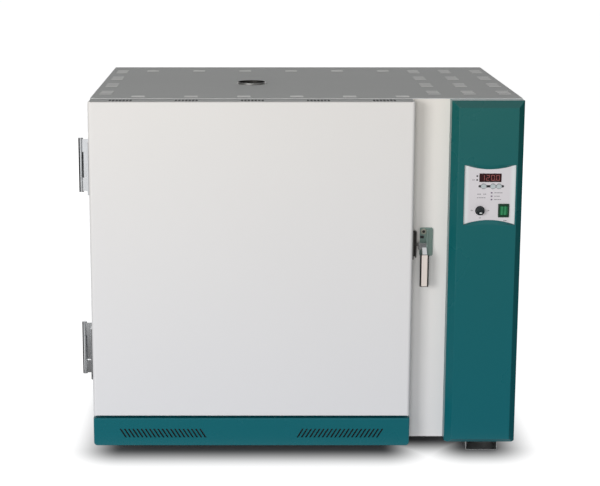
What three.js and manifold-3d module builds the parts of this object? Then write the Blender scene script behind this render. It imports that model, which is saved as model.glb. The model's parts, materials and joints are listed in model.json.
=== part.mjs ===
// Laboratory oven: a bench-top drying oven with one insulated door hinged on its left,
// a slotted plinth under the door and a control column down its right front.
// Millimetres, +X to the right, +Y to the back, +Z up, the floor at zero height.
// Every piece is drawn from the casing's left front corner; the last group moves the
// whole oven so that its box is centred over the origin.

import * as THREE from 'three';
import { mergeVertices } from 'three/addons/utils/BufferGeometryUtils.js';
import Module from 'manifold-3d';

const wasm = await Module();
wasm.setup();

// Casing
const bodyWidth = 978;
const bodyDepth = 657;
const bodyHeight = 802;
const footHeight = 28;
const sheet = 1.5;
const frameSheet = 2;
const frameReturn = 20;
const seat = 0.3;
const overrun = 4;
const cornerRadius = 3;

// Feet, bent from strip
const footWidth = 75;
const footLength = 70;
const footFlange = 12;
const footStrip = 2.5;
const footSideInset = 73.5;
const footReach = 18;
const leftFootSetback = 100;
const rearFootInset = 100;

// Plinth cover under the door
const plinthHeight = 66.5;
const plinthGap = 5.5;
const plinthCorner = 8;
const plinthSlotCount = 20;
const plinthSlotPitch = 9.68;
const plinthSlotWidth = 4.2;
const plinthSlotHeight = 21;
const plinthSlotLean = 13;
const plinthSlotInset = 62;
const plinthSlotRise = 20;

// Door
const doorThickness = 52;
const doorStandoff = 12;
const doorCorner = 4;
const doorRoll = 8;
const doorRollSteps = 5;
const doorFold = 20;
const doorHoleRadius = 2;
const doorHoleSides = 5;
const doorHoleSpace = 14;
const doorHolePitch = 7.7;
const doorHoleCount = 7;
const doorHoleSetback = 23;
const doorHoleGroupShares = [0.0986, 0.3007, 0.5027, 0.7048, 0.9068];
const gasketWidth = 14;
const gasketInset = 8;
const gasketCorner = 20;

// Control column
const columnWidth = 163.7;
const frameStrip = 84.3;
const columnDepth = 50;
const columnBevelWidth = 15;
const columnBevelDepth = 18;
const columnFootBevel = 10;
const columnInset = 1;
const columnWall = 2;

// Control recess with its two sloping lobes, and the plate behind it
const windowLeftInset = 29.9;
const windowRightInset = 18.3;
const windowTopInset = 143.9;
const windowHeight = 137.5;
const lobeSag = 10.5;
const lobeEdge = 0.6;
const lobeRecess = 6;
const lobeSteps = 16;
const plateMargin = 2.2;
const plateThickness = 2;

// Display, keys, limiter and switch
const displayWidth = 49.7;
const displayHeight = 19.1;
const displayLeftInset = 34.4;
const displayTopInset = 20.4;
const lensThickness = 3;
const moduleMargin = 2;
const moduleDepth = 10;
const boardThickness = 1.6;
const boardMargin = 6;
const keyDiameter = 12.3;
const keyClearance = 0.3;
const keyWeb = 0.4;
const keyProud = 1.6;
const keyDepth = 4.5;
const keyStemRadius = 2;
const keyTravelGap = 1.4;
const keyDrop = 49.5;
const firstKeyInset = 44.5;
const pairKeyInset = 65.6;
const knobRadius = 10.75;
const knobHeight = 14;
const knobShaftRadius = 3;
const knobFluteCount = 10;
const knobFluteRadius = 1.3;
const knobFluteSides = 6;
const knobGripShare = 0.86;
const knobInset = 37.4;
const knobDrop = 105.2;
const shaftClearance = 0.3;
const limiterRadius = 13;
const limiterDepth = 22;
const bezelWidth = 25;
const bezelHeight = 31.2;
const bezelLip = 1.4;
const bezelThickness = 2;
const bezelRim = 3.2;
const bezelInset = 78.3;
const bezelDrop = 89.5;
const switchDepth = 18;
const rockerTilt = 8;
const rockerFaceShare = 0.5;
const rockerPivotShare = 0.333;
const trunnionRadius = 1.5;
const trunnionLength = 1.2;

// Chamber
const chamberInset = 65;
const linerWall = 1.5;
const linerFlange = 15;
const bottomInsulation = 60;
const sideInsulation = 70;
const rearInsulation = 58;
const motorSpace = 75;
const fanSpace = 68;
const baffleSheet = 1.5;
const baffleFlange = 14;
const intakeRadius = 80;
const intakeRings = 2;
const intakeSlotWidth = 6;
const intakeSlotsPerRing = 4;
const intakeOpenShare = 0.7;
const baffleSlotCount = 7;
const baffleSlotWidth = 8;
const baffleSlotInset = 24;
const baffleSlotShare = 0.6;

// Fan, motor and heaters
const fanRadius = 85;
const fanDepth = 34;
const fanBladeCount = 8;
const fanBladeThickness = 2;
const fanBladeShare = 0.42;
const fanBladeMidShare = 0.74;
const fanBladeLean = Math.PI / 6;
const fanMouthShare = 0.72;
const fanPlate = 2;
const fanHubRadius = 16;
const fanBackGap = 12;
const shaftRadius = 6;
const shaftSeat = 12;
const shaftHoleRadius = 9;
const shaftTunnelRadius = 12;
const motorRadius = 44;
const motorGap = 10;
const motorFlangeRadius = 54;
const motorFlange = 4;
const motorFinCount = 6;
const motorFinHeight = 4;
const motorFinWidth = 3;
const heaterTubeRadius = 4;
const heaterBend = 14;
const heaterInnerRing = 106;
const heaterOuterRing = 132;
const heaterGapAngle = Math.PI / 9;
const heaterSteps = 18;
const heaterSides = 5;
const heaterBendSteps = 4;
const heaterTail = 12;
const heaterHoleGap = 1;

// Shelves and their rails
const shelfHeightShares = [0.3, 0.62];
const railSheet = 2;
const railLedge = 14;
const railEndShare = 0.12;
const railFrontInset = 30;
const shelfRodRadius = 3;
const shelfWireRadius = 1.6;
const shelfWirePitch = 57;
const shelfWireDrop = 0.3;
const shelfCrossRadius = 1.5;
const wireSides = 4;
const shelfFrontInset = 45;
const shelfBackGap = 10;

// Temperature probe
const probeRadius = 3;
const probeReach = 30;
const probeInset = 30;
const probeNutRadius = 8;
const probeNutLength = 8;
const nutSides = 6;

// Exhaust vent
const ventRadius = 35;
const ventWall = 1.5;
const ventProud = 4.5;
const ventDepthShare = 0.432;
const ventFlange = 12;
const damperDrop = 40;
const damperSheet = 1.5;
const damperRim = 1;
const spindleRadius = 2.5;
const damperTabWidth = 12;
const damperTabHeight = 12;
const damperTabInset = 7;

// Top panel louvres
const louvreRise = 1.5;
const louvreSlot = 3;
const louvreLip = 5;
const rowLouvrePitch = 14;
const columnLouvrePitch = 26;
const rowPatchShares = [0.1466, 0.3115, 0.4764, 0.6414, 0.8063, 0.9712];
const rowPatchWidth = 30;
const rowPatchCount = 2;
const rowPatchFrontInset = 28;
const rowPatchBackInset = 97;
const columnPatchShares = [0.149, 0.374, 0.6, 0.825];
const columnPatchWidth = 28;
const columnPatchCount = 3;
const columnPatchInset = 28.5;
const columnPatchPitch = 81.4;
const columnPatchColumns = 3;

// Side and back louvres
const sideLouvreLength = 110;
const sideLouvreCount = 6;
const sideLouvrePitch = 20;
const sideLouvreInset = 70;
const sideLouvreShares = [0.16, 0.74];
const backSlotCount = 5;
const backSlotPitch = 14;
const backSlotWidth = 5;
const inletWidth = 34;
const inletHeight = 28;
const inletDepth = 24;
const inletFlange = 8;
const inletPlate = 2.5;
const inletWall = 3;
const inletRecess = 20;
const inletBladeLength = 14;
const inletBladeWidth = 6;
const inletBladeThickness = 2;
const inletBladeDrop = 4;
const inletSideInset = 90;
const inletRise = 62;

// Electrical tray inside the right of the casing
const trayWidth = 260;
const trayHeight = 320;
const trayFold = 12;
const trayRiseShare = 0.35;
const relayWidth = 60;
const relayHeight = 90;
const relayDepth = 28;
const relayFinCount = 5;
const relayFinDepth = 22;
const relayFinShare = 0.4;
const terminalWidth = 120;
const terminalHeight = 24;
const terminalDepth = 20;
const terminalWays = 6;
const terminalNotch = 6;
const terminalNotchShare = 0.7;

// Door hinges
const hingeReach = 22.9;
const hingeBarrelRadius = 5.6;
const hingePinRadius = 3;
const hingeLength = 120;
const hingeKnuckle = 30;
const hingeLeafThickness = 3;
const hingeLeafWidth = 42;
const hingeLeafTail = 18;
const hingeWeb = 3;
const hingeWebGap = 1.2;
const hingeEdgeGap = 4;
const hingeCapHeight = 2;
const hingeHeightShares = [0.2, 0.791];

// Door latch
const latchGap = 21.5;
const latchWidth = 30;
const latchHeight = 66;
const latchPlate = 4;
const latchCorner = 4;
const latchHeightShare = 0.546;
const latchPivotStandoff = 12;
const latchPivotDrop = 8;
const latchCheekRise = 5;
const latchCheekLand = 1.5;
const latchCheekInset = 3;
const latchHubRadius = 6;
const latchHubWidth = 10;
const latchPinRadius = 2.5;
const latchEar = 2.5;
const latchEarRadius = 7;
const latchBossRadius = 6.5;
const latchBossHeight = 5;
const latchBossInset = 8;
const paddleWidth = 20;
const paddleLength = 73;
const paddleDepth = 8;
const paddleWall = 2.5;
const paddleDrop = 16;
const paddleStandoff = 26;
const clawPlate = 4;
const clawStandoff = 8;
const clawHeight = 15;
const clawLip = 5;
const clawRiseShare = 0.667;
const keeperGap = 0.8;
const keeperPlate = 2.5;
const keeperHeight = 60;
const keeperLipReach = 11;
const keeperSetback = 8;
const rollerRadius = 3.5;
const rollerReach = 4.5;

// Steps of round forms
const fineSteps = 20;
const roundSteps = 14;
const smallSteps = 8;
const cornerSteps = 3;
const arcSteps = 2;
const gridPerMillimetre = 1024;

// Places that follow from the sizes above
const bodyTop = footHeight + bodyHeight;
const doorWidth = bodyWidth - columnWidth - frameStrip;
const doorHeight = bodyHeight - plinthHeight - plinthGap;
const doorBottom = bodyTop - doorHeight;
const doorBack = -doorStandoff;
const doorFront = doorBack - doorThickness;
const panelTop = bodyTop - sheet - seat;
const innerSide = sheet + seat;
const columnLeft = bodyWidth - columnWidth;
const columnBottom = footHeight + columnInset;
const columnTop = bodyTop - columnInset;
const chamberLeft = chamberInset;
const chamberRight = doorWidth - chamberInset;
const chamberBottom = doorBottom + chamberInset;
const chamberTop = bodyTop - chamberInset;
const chamberMidX = (chamberLeft + chamberRight) / 2;
const chamberMidZ = (chamberBottom + chamberTop) / 2;
const linerFront = frameSheet + seat;
const insulationFront = frameSheet + frameReturn + seat;
const insulationBack = bodyDepth - motorSpace;
const linerBack = insulationBack - rearInsulation;
const fanRoomBack = linerBack - linerWall;
const baffleBack = fanRoomBack - fanSpace;
const baffleFront = baffleBack - baffleSheet;
const insulationRight = chamberRight + linerWall + sideInsulation;
const insulationBottom = chamberBottom - linerWall - bottomInsulation;
const partitionLeft = insulationRight + seat;
const backPanelFront = bodyDepth - sheet;
const ventY = bodyDepth * ventDepthShare;
const windowLeft = columnLeft + windowLeftInset;
const windowRight = bodyWidth - windowRightInset;
const windowTop = columnTop - windowTopInset;
const windowBottom = windowTop - windowHeight;
const columnFront = -columnDepth;
const plateFront = columnFront + lobeRecess + seat;
const plateBack = plateFront + plateThickness;
const keyPitch = keyDiameter + 2 * keyClearance + keyWeb;
const latchLeft = doorWidth + latchGap;
const latchMidZ = doorBottom + doorHeight * latchHeightShare;
const latchPlateFront = -seat - latchPlate;
const latchPivotX = latchLeft + latchEar + seat + latchHubWidth / 2 + seat;
const latchPivotY = latchPlateFront - latchPivotStandoff;
const latchPivotZ = latchMidZ - latchPivotDrop;
const bodyBoxLeft = -hingeReach - hingeBarrelRadius;
const bodyBoxRight = bodyWidth + louvreRise;
const bodyBoxBack = bodyDepth + inletPlate + seat;

// Ways to make solids

const planes = {
  xy: new THREE.Matrix4(),
  xz: new THREE.Matrix4().makeBasis(
    new THREE.Vector3(1, 0, 0), new THREE.Vector3(0, 0, 1), new THREE.Vector3(0, -1, 0)),
  yz: new THREE.Matrix4().makeBasis(
    new THREE.Vector3(0, 1, 0), new THREE.Vector3(0, 0, 1), new THREE.Vector3(1, 0, 0)),
};

// Turns a closed geometry into a solid that can be joined and cut. Its places are rounded
// to a fine grid first, so that faces that should be flush are exactly flush.
function solidOf(geometry) {
  const bare = geometry.clone();
  for (const name of Object.keys(bare.attributes)) {
    if (name !== 'position') {
      bare.deleteAttribute(name);
    }
  }
  const places = bare.attributes.position.array;
  for (let i = 0; i < places.length; i += 1) {
    places[i] = Math.round(places[i] * gridPerMillimetre) / gridPerMillimetre;
  }
  const merged = mergeVertices(bare);
  return new wasm.Manifold(new wasm.Mesh({
    numProp: 3,
    vertProperties: new Float32Array(merged.attributes.position.array),
    triVerts: new Uint32Array(merged.index.array),
  }));
}

function box(left, right, front, back, bottom, top) {
  const geometry = new THREE.BoxGeometry(right - left, back - front, top - bottom);
  geometry.translate((left + right) / 2, (front + back) / 2, (bottom + top) / 2);
  return solidOf(geometry);
}

// Extrudes an outline drawn in one plane from a low to a high place on the third axis.
function extruded(outline, plane, low, high, steps = cornerSteps) {
  const depth = high - low;
  const geometry = new THREE.ExtrudeGeometry(outline, {
    depth, bevelEnabled: false, curveSegments: steps,
  });
  geometry.applyMatrix4(planes[plane]);
  if (plane === 'xy') {
    geometry.translate(0, 0, low);
  } else if (plane === 'xz') {
    geometry.translate(0, high, 0);
  } else {
    geometry.translate(low, 0, 0);
  }
  return solidOf(geometry);
}

// A round bar along an axis; across gives its centre on the two other axes, in order.
function bar(axis, radius, low, high, across, steps = roundSteps) {
  const outline = new THREE.Shape();
  for (let i = 0; i < steps; i += 1) {
    const angle = (i / steps) * Math.PI * 2;
    const u = across[0] + radius * Math.cos(angle);
    const v = across[1] + radius * Math.sin(angle);
    if (i === 0) {
      outline.moveTo(u, v);
    } else {
      outline.lineTo(u, v);
    }
  }
  const plane = { x: 'yz', y: 'xz', z: 'xy' }[axis];
  return extruded(outline, plane, low, high);
}

// The cutter for a hole in which a round bar turns: its flats stand clear of the bar's edges.
function bore(axis, radius, low, high, across, steps = smallSteps) {
  const clear = (radius + shaftClearance) / Math.cos(Math.PI / steps);
  return bar(axis, clear, low, high, across, steps);
}

function outlineOf(points) {
  return new THREE.Shape(points.map(([u, v]) => new THREE.Vector2(u, v)));
}

function roundedRect(left, right, bottom, top, radius) {
  const outline = new THREE.Shape();
  const quarter = Math.PI / 2;
  outline.moveTo(left + radius, bottom);
  outline.lineTo(right - radius, bottom);
  outline.absarc(right - radius, bottom + radius, radius, -quarter, 0, false);
  outline.lineTo(right, top - radius);
  outline.absarc(right - radius, top - radius, radius, 0, quarter, false);
  outline.lineTo(left + radius, top);
  outline.absarc(left + radius, top - radius, radius, quarter, 2 * quarter, false);
  outline.lineTo(left, bottom + radius);
  outline.absarc(left + radius, bottom + radius, radius, 2 * quarter, 3 * quarter, false);
  return outline;
}

function joined(first, ...rest) {
  return rest.reduce((whole, piece) => whole.add(piece), first);
}

function cutBy(first, ...rest) {
  return rest.reduce((whole, piece) => whole.subtract(piece), first);
}

// Skins a row of equal sections and closes both ends, with the faces turned outwards.
function lofted(sections) {
  const count = sections[0].length;
  const points = sections.flat();
  const faces = [];
  for (let s = 0; s + 1 < sections.length; s += 1) {
    for (let i = 0; i < count; i += 1) {
      const a = s * count + i;
      const b = s * count + ((i + 1) % count);
      faces.push([a, b, b + count], [a, b + count, a + count]);
    }
  }
  const last = (sections.length - 1) * count;
  for (let i = 1; i + 1 < count; i += 1) {
    faces.push([0, i + 1, i], [last, last + i, last + i + 1]);
  }
  let sixVolumes = 0;
  for (const [a, b, c] of faces) {
    sixVolumes += points[a].dot(points[b].clone().cross(points[c]));
  }
  const index = sixVolumes > 0 ? faces.flat() : faces.map(([a, b, c]) => [a, c, b]).flat();
  const geometry = new THREE.BufferGeometry();
  const places = points.flatMap((point) => [point.x, point.y, point.z]);
  geometry.setAttribute('position', new THREE.Float32BufferAttribute(places, 3));
  geometry.setIndex(index);
  return solidOf(geometry);
}

// A round tube along a path of points.
function tubeAlong(points, radius, stepsPerSpan, sides) {
  const path = new THREE.CatmullRomCurve3(points, false, 'centripetal');
  const section = new THREE.Shape();
  for (let i = 0; i < sides; i += 1) {
    const angle = (i / sides) * Math.PI * 2;
    const u = radius * Math.cos(angle);
    const v = radius * Math.sin(angle);
    if (i === 0) {
      section.moveTo(u, v);
    } else {
      section.lineTo(u, v);
    }
  }
  const geometry = new THREE.ExtrudeGeometry(section, {
    steps: (points.length - 1) * stepsPerSpan, bevelEnabled: false, extrudePath: path,
  });
  return solidOf(geometry);
}

// Finishes, one fresh material for each mesh
const finishes = {
  ivoryPaint: { color: 0xdedad5, roughness: 0.4, metalness: 0 },
  topPaint: { color: 0xc4c4c2, roughness: 0.45, metalness: 0 },
  tealPaint: { color: 0x1f6a70, roughness: 0.4, metalness: 0 },
  chrome: { color: 0xc9ccce, roughness: 0.12, metalness: 1 },
  stainless: { color: 0xb4b6b6, roughness: 0.3, metalness: 1 },
  galvanised: { color: 0x9a9c9b, roughness: 0.5, metalness: 0.9 },
  silverPlate: { color: 0xc3c3c5, roughness: 0.4, metalness: 0.3 },
  displayRed: { color: 0x3a1216, roughness: 0.15, metalness: 0 },
  keyIvory: { color: 0xc9cbce, roughness: 0.5, metalness: 0 },
  blackPlastic: { color: 0x17191a, roughness: 0.45, metalness: 0 },
  rockerGreen: { color: 0x2c8a4c, roughness: 0.25, metalness: 0 },
  darkGreen: { color: 0x0d2a1c, roughness: 0.4, metalness: 0 },
  board: { color: 0x1f5a34, roughness: 0.5, metalness: 0 },
  siliconeGrey: { color: 0x8d8f90, roughness: 0.7, metalness: 0 },
  wool: { color: 0xcfc7a4, roughness: 0.95, metalness: 0 },
  motorPaint: { color: 0x4b5054, roughness: 0.5, metalness: 0.4 },
};

function piece(name, solid, finish) {
  const shape = solid.getMesh();
  const geometry = new THREE.BufferGeometry();
  geometry.setAttribute('position', new THREE.BufferAttribute(shape.vertProperties, 3));
  geometry.setIndex(new THREE.BufferAttribute(shape.triVerts, 1));
  geometry.computeVertexNormals();
  const mesh = new THREE.Mesh(geometry, new THREE.MeshStandardMaterial(finishes[finish]));
  mesh.name = name;
  return mesh;
}

function placed(x, y, z, ...members) {
  const group = new THREE.Group();
  group.position.set(x, y, z);
  group.add(...members);
  return group;
}

// Casing

function leftSidePanel() {
  return box(0, sheet, frameSheet + seat, backPanelFront - seat, footHeight, panelTop);
}

// The right side panel has two banks of pressed louvres, one low and one high.
function rightSidePanel() {
  const inner = bodyWidth - sheet;
  let panel = box(inner, bodyWidth, frameSheet + seat, backPanelFront - seat, footHeight, panelTop);
  const front = sideLouvreInset;
  const back = sideLouvreInset + sideLouvreLength;
  for (const share of sideLouvreShares) {
    const firstZ = footHeight + bodyHeight * share;
    for (let i = 0; i < sideLouvreCount; i += 1) {
      const z = firstZ + i * sideLouvrePitch;
      const lip = outlineOf([
        [inner + sheet / 2, z], [bodyWidth + louvreRise, z], [inner + sheet / 2, z + louvreLip],
      ]);
      panel = panel.add(extruded(lip, 'xz', front, back));
      panel = panel.subtract(
        box(inner - overrun, bodyWidth + overrun, front, back, z - louvreSlot, z));
    }
  }
  return panel;
}

// Where the louvre patches of the top panel lie: centre, width and number of louvres.
function topPatches() {
  const patches = [];
  for (const share of rowPatchShares) {
    for (const y of [rowPatchFrontInset, bodyDepth - rowPatchBackInset]) {
      patches.push({
        x: doorWidth * share, y, width: rowPatchWidth, count: rowPatchCount, pitch: rowLouvrePitch,
      });
    }
  }
  const columns = [columnPatchInset];
  for (let i = 0; i < columnPatchColumns; i += 1) {
    columns.push(bodyWidth - columnPatchInset - i * columnPatchPitch);
  }
  for (const x of columns) {
    for (const share of columnPatchShares) {
      const y = bodyDepth * share;
      patches.push({
        x, y, width: columnPatchWidth, count: columnPatchCount, pitch: columnLouvrePitch,
      });
    }
  }
  return patches;
}

function topPanel() {
  const bottom = bodyTop - sheet;
  let slots = null;
  let lips = null;
  for (const patch of topPatches()) {
    const left = patch.x - patch.width / 2;
    const right = patch.x + patch.width / 2;
    for (let i = 0; i < patch.count; i += 1) {
      const y = patch.y + (i - (patch.count - 1) / 2) * patch.pitch;
      const lip = outlineOf([
        [y - louvreLip, bodyTop - sheet / 2], [y, bodyTop + louvreRise], [y, bodyTop - sheet / 2],
      ]);
      const lipSolid = extruded(lip, 'yz', left, right);
      const slot = box(left, right, y, y + louvreSlot, bottom - overrun, bodyTop + overrun);
      lips = lips ? lips.add(lipSolid) : lipSolid;
      slots = slots ? slots.add(slot) : slot;
    }
  }
  const hole = bar('z', ventRadius + seat, bottom - overrun, bodyTop + overrun,
    [chamberMidX, ventY], fineSteps);
  const plate = box(0, bodyWidth, 0, bodyDepth, bottom, bodyTop);
  return cutBy(joined(plate, lips), slots, hole);
}

// The back panel has a slotted field behind the motor and a cut-out for the inlet.
function backPanel() {
  const panel = box(0, bodyWidth, backPanelFront, bodyDepth, footHeight, panelTop);
  const cuts = [];
  for (const side of [-1, 1]) {
    for (let i = 0; i < backSlotCount; i += 1) {
      const x = chamberMidX + side * (motorFlangeRadius + backSlotPitch * (i + 1));
      const reach = motorFlangeRadius * Math.cos(((i + 1) / (backSlotCount + 1)) * Math.PI / 2);
      cuts.push(box(x - backSlotWidth / 2, x + backSlotWidth / 2,
        backPanelFront - overrun, bodyDepth + overrun, chamberMidZ - reach, chamberMidZ + reach));
    }
  }
  const inletX = bodyWidth - inletSideInset;
  const inletZ = footHeight + inletRise;
  cuts.push(box(inletX - inletWidth / 2 - seat, inletX + inletWidth / 2 + seat,
    backPanelFront - overrun, bodyDepth + overrun,
    inletZ - inletHeight / 2 - seat, inletZ + inletHeight / 2 + seat));
  return cutBy(panel, ...cuts);
}

function bottomPan() {
  return box(innerSide, bodyWidth - innerSide, insulationFront, backPanelFront - seat,
    footHeight, footHeight + sheet);
}

// The front frame is one sheet with the chamber's mouth in it and a return all round.
function frontFrame() {
  const outline = roundedRect(0, bodyWidth, footHeight, panelTop, cornerRadius);
  const face = extruded(outline, 'xz', 0, frameSheet);
  const rim = cutBy(
    box(innerSide, bodyWidth - innerSide, frameSheet / 2, frameSheet + frameReturn,
      footHeight, panelTop),
    box(innerSide + frameSheet, bodyWidth - innerSide - frameSheet,
      -overrun, frameSheet + frameReturn + overrun,
      footHeight + frameSheet, panelTop - frameSheet));
  const mouth = box(chamberLeft, chamberRight, -overrun, frameSheet + frameReturn + overrun,
    chamberBottom, chamberTop);
  return cutBy(joined(face, rim), mouth);
}

function partition() {
  return box(partitionLeft, partitionLeft + sheet, insulationFront, backPanelFront - seat,
    footHeight + sheet + seat, panelTop);
}

// A foot is a strip bent into a channel with two fixing flanges, open to the front.
function foot() {
  const half = footWidth / 2;
  const top = footHeight - seat;
  const outline = outlineOf([
    [-half, 0], [half, 0],
    [half, top - footStrip], [half + footFlange, top - footStrip],
    [half + footFlange, top], [half - footStrip, top],
    [half - footStrip, footStrip], [-half + footStrip, footStrip],
    [-half + footStrip, top], [-half - footFlange, top],
    [-half - footFlange, top - footStrip], [-half, top - footStrip],
  ]);
  return extruded(outline, 'xz', 0, footLength);
}

// Plinth cover

function plinthOutline(inset) {
  const outline = new THREE.Shape();
  const quarter = Math.PI / 2;
  const radius = plinthCorner - inset;
  const left = inset;
  const right = doorWidth - inset;
  const bottom = footHeight + inset;
  const top = footHeight + plinthHeight - inset;
  outline.moveTo(left + radius, bottom);
  outline.lineTo(right - radius, bottom);
  outline.absarc(right - radius, bottom + radius, radius, -quarter, 0, false);
  outline.lineTo(right, top);
  outline.lineTo(left, top);
  outline.lineTo(left, bottom + radius);
  outline.absarc(left + radius, bottom + radius, radius, 2 * quarter, 3 * quarter, false);
  return outline;
}

// Two groups of slanted slots: the left group leans like a backslash, the right mirrors it.
function plinthCover() {
  let cover = cutBy(
    extruded(plinthOutline(0), 'xz', doorFront, -seat),
    extruded(plinthOutline(sheet), 'xz', doorFront + sheet, overrun));
  const low = footHeight + plinthSlotRise;
  const high = low + plinthSlotHeight;
  const half = plinthSlotWidth / 2;
  for (const side of [-1, 1]) {
    const edge = side < 0 ? plinthSlotInset : doorWidth - plinthSlotInset;
    for (let i = 0; i < plinthSlotCount; i += 1) {
      const topX = edge - side * i * plinthSlotPitch;
      const lowX = topX - side * plinthSlotLean;
      const slot = outlineOf([
        [lowX - half, low], [lowX + half, low], [topX + half, high], [topX - half, high],
      ]);
      cover = cover.subtract(extruded(slot, 'xz', doorFront - overrun, doorFront + sheet + overrun));
    }
  }
  return cover;
}

// Chamber

function chamberLiner() {
  const shell = cutBy(
    box(chamberLeft - linerWall, chamberRight + linerWall, linerFront, linerBack,
      chamberBottom - linerWall, chamberTop + linerWall),
    box(chamberLeft, chamberRight, linerFront - overrun, fanRoomBack, chamberBottom, chamberTop));
  const flange = cutBy(
    box(chamberLeft - linerFlange, chamberRight + linerFlange, linerFront, linerFront + linerWall,
      chamberBottom - linerFlange, chamberTop + linerFlange),
    box(chamberLeft, chamberRight, linerFront - overrun, linerFront + linerWall + overrun,
      chamberBottom, chamberTop));
  const shaftHole = bar('y', shaftHoleRadius, fanRoomBack - overrun, linerBack + overrun,
    [chamberMidX, chamberMidZ]);
  const ventHole = bar('z', ventRadius - ventWall, chamberTop - overrun,
    chamberTop + linerWall + overrun, [chamberMidX, ventY], fineSteps);
  return cutBy(joined(shell, flange), shaftHole, ventHole,
    ...rearHoles(fanRoomBack - overrun, linerBack + overrun));
}

// Holes that the heater tails and the probe need in whatever lies behind the fan room.
function rearHoles(front, back) {
  const holes = [];
  for (const ring of [heaterInnerRing, heaterOuterRing]) {
    for (const [x, z] of heaterTails(ring)) {
      holes.push(bar('y', heaterTubeRadius + heaterHoleGap, front, back, [x, z], smallSteps));
    }
  }
  holes.push(bar('y', probeRadius + seat, front, back,
    [chamberRight - probeInset, chamberTop - probeInset], smallSteps));
  return holes;
}

function insulationJacket() {
  const jacket = cutBy(
    box(innerSide, insulationRight, insulationFront, insulationBack, insulationBottom, panelTop),
    box(chamberLeft - linerWall - seat, chamberRight + linerWall + seat,
      insulationFront - overrun, linerBack + seat,
      chamberBottom - linerWall - seat, chamberTop + linerWall + seat));
  const shaftHole = bar('y', shaftTunnelRadius, linerBack - overrun, insulationBack + overrun,
    [chamberMidX, chamberMidZ]);
  const ventHole = bar('z', ventRadius + ventFlange + seat, chamberTop - overrun,
    panelTop + overrun, [chamberMidX, ventY], fineSteps);
  return cutBy(jacket, shaftHole, ventHole,
    ...rearHoles(linerBack - overrun, insulationBack + overrun));
}

// The air baffle hides the fan: rings of intake slots in its middle, outlet slots at its sides.
function airBaffle() {
  const left = chamberLeft + seat;
  const right = chamberRight - seat;
  const low = chamberBottom + seat;
  const high = chamberTop - seat;
  let baffle = box(left, right, baffleFront, baffleBack, low, high);
  const flange = cutBy(
    box(left, right, baffleBack - baffleSheet / 2, baffleBack + baffleFlange, low, high),
    box(left + baffleSheet, right - baffleSheet, baffleFront - overrun,
      baffleBack + baffleFlange + overrun, low + baffleSheet, high - baffleSheet));
  baffle = joined(baffle, flange);
  const cuts = [];
  for (let ring = 1; ring <= intakeRings; ring += 1) {
    const radius = (intakeRadius * ring) / intakeRings;
    const slots = ring * intakeSlotsPerRing;
    for (let i = 0; i < slots; i += 1) {
      const middle = ((i + (ring % 2) / 2) / slots) * Math.PI * 2;
      const half = (Math.PI / slots) * intakeOpenShare;
      const outline = new THREE.Shape();
      outline.absarc(chamberMidX, chamberMidZ, radius, middle - half, middle + half, false);
      outline.absarc(chamberMidX, chamberMidZ, radius - intakeSlotWidth,
        middle + half, middle - half, true);
      cuts.push(extruded(outline, 'xz', baffleFront - overrun, baffleBack + overrun,
        arcSteps));
    }
  }
  const pitch = (high - low) / (baffleSlotCount + 1);
  const halfSlot = (pitch * baffleSlotShare) / 2;
  for (const side of [-1, 1]) {
    const edge = side < 0 ? left + baffleSlotInset : right - baffleSlotInset - baffleSlotWidth;
    for (let i = 1; i <= baffleSlotCount; i += 1) {
      const z = low + i * pitch;
      cuts.push(box(edge, edge + baffleSlotWidth, baffleFront - overrun, baffleBack + overrun,
        z - halfSlot, z + halfSlot));
    }
  }
  cuts.push(bar('y', probeRadius + seat, baffleFront - overrun, baffleBack + overrun,
    [chamberRight - probeInset, chamberTop - probeInset], smallSteps));
  return cutBy(baffle, ...cuts);
}

// Where the two tails of a heater ring leave it, as seen from the front.
function heaterTails(ring) {
  const places = [];
  for (const side of [-1, 1]) {
    const angle = -Math.PI / 2 + side * heaterGapAngle;
    const alongX = -Math.sin(angle) * side;
    const alongZ = Math.cos(angle) * side;
    places.push([
      chamberMidX + ring * Math.cos(angle) - heaterBend * alongX,
      chamberMidZ + ring * Math.sin(angle) - heaterBend * alongZ,
    ]);
  }
  return places;
}

// A tubular heater: a ring round the fan whose two ends bend back through the rear wall.
function heater(ring, y) {
  const points = [];
  const end = insulationBack + heaterTail;
  const bendCentre = y + heaterBend;
  const tails = heaterTails(ring);
  const bend = (side) => {
    const [tailX, tailZ] = tails[side < 0 ? 0 : 1];
    const angle = -Math.PI / 2 + side * heaterGapAngle;
    const ringX = chamberMidX + ring * Math.cos(angle);
    const ringZ = chamberMidZ + ring * Math.sin(angle);
    const run = [];
    for (let i = 0; i <= heaterBendSteps; i += 1) {
      const turn = (i / heaterBendSteps) * (Math.PI / 2);
      run.push(new THREE.Vector3(
        ringX + (tailX - ringX) * Math.cos(turn),
        bendCentre - heaterBend * Math.sin(turn),
        ringZ + (tailZ - ringZ) * Math.cos(turn)));
    }
    return [
      new THREE.Vector3(tailX, end, tailZ),
      new THREE.Vector3(tailX, (end + bendCentre) / 2, tailZ),
      ...run,
    ];
  };
  points.push(...bend(1));
  const sweep = Math.PI * 2 - 2 * heaterGapAngle;
  for (let i = 1; i < heaterSteps; i += 1) {
    const angle = -Math.PI / 2 + heaterGapAngle + (sweep * i) / heaterSteps;
    points.push(new THREE.Vector3(
      chamberMidX + ring * Math.cos(angle), y, chamberMidZ + ring * Math.sin(angle)));
  }
  points.push(...bend(-1).reverse());
  return tubeAlong(points, heaterTubeRadius, 1, heaterSides);
}

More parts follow.
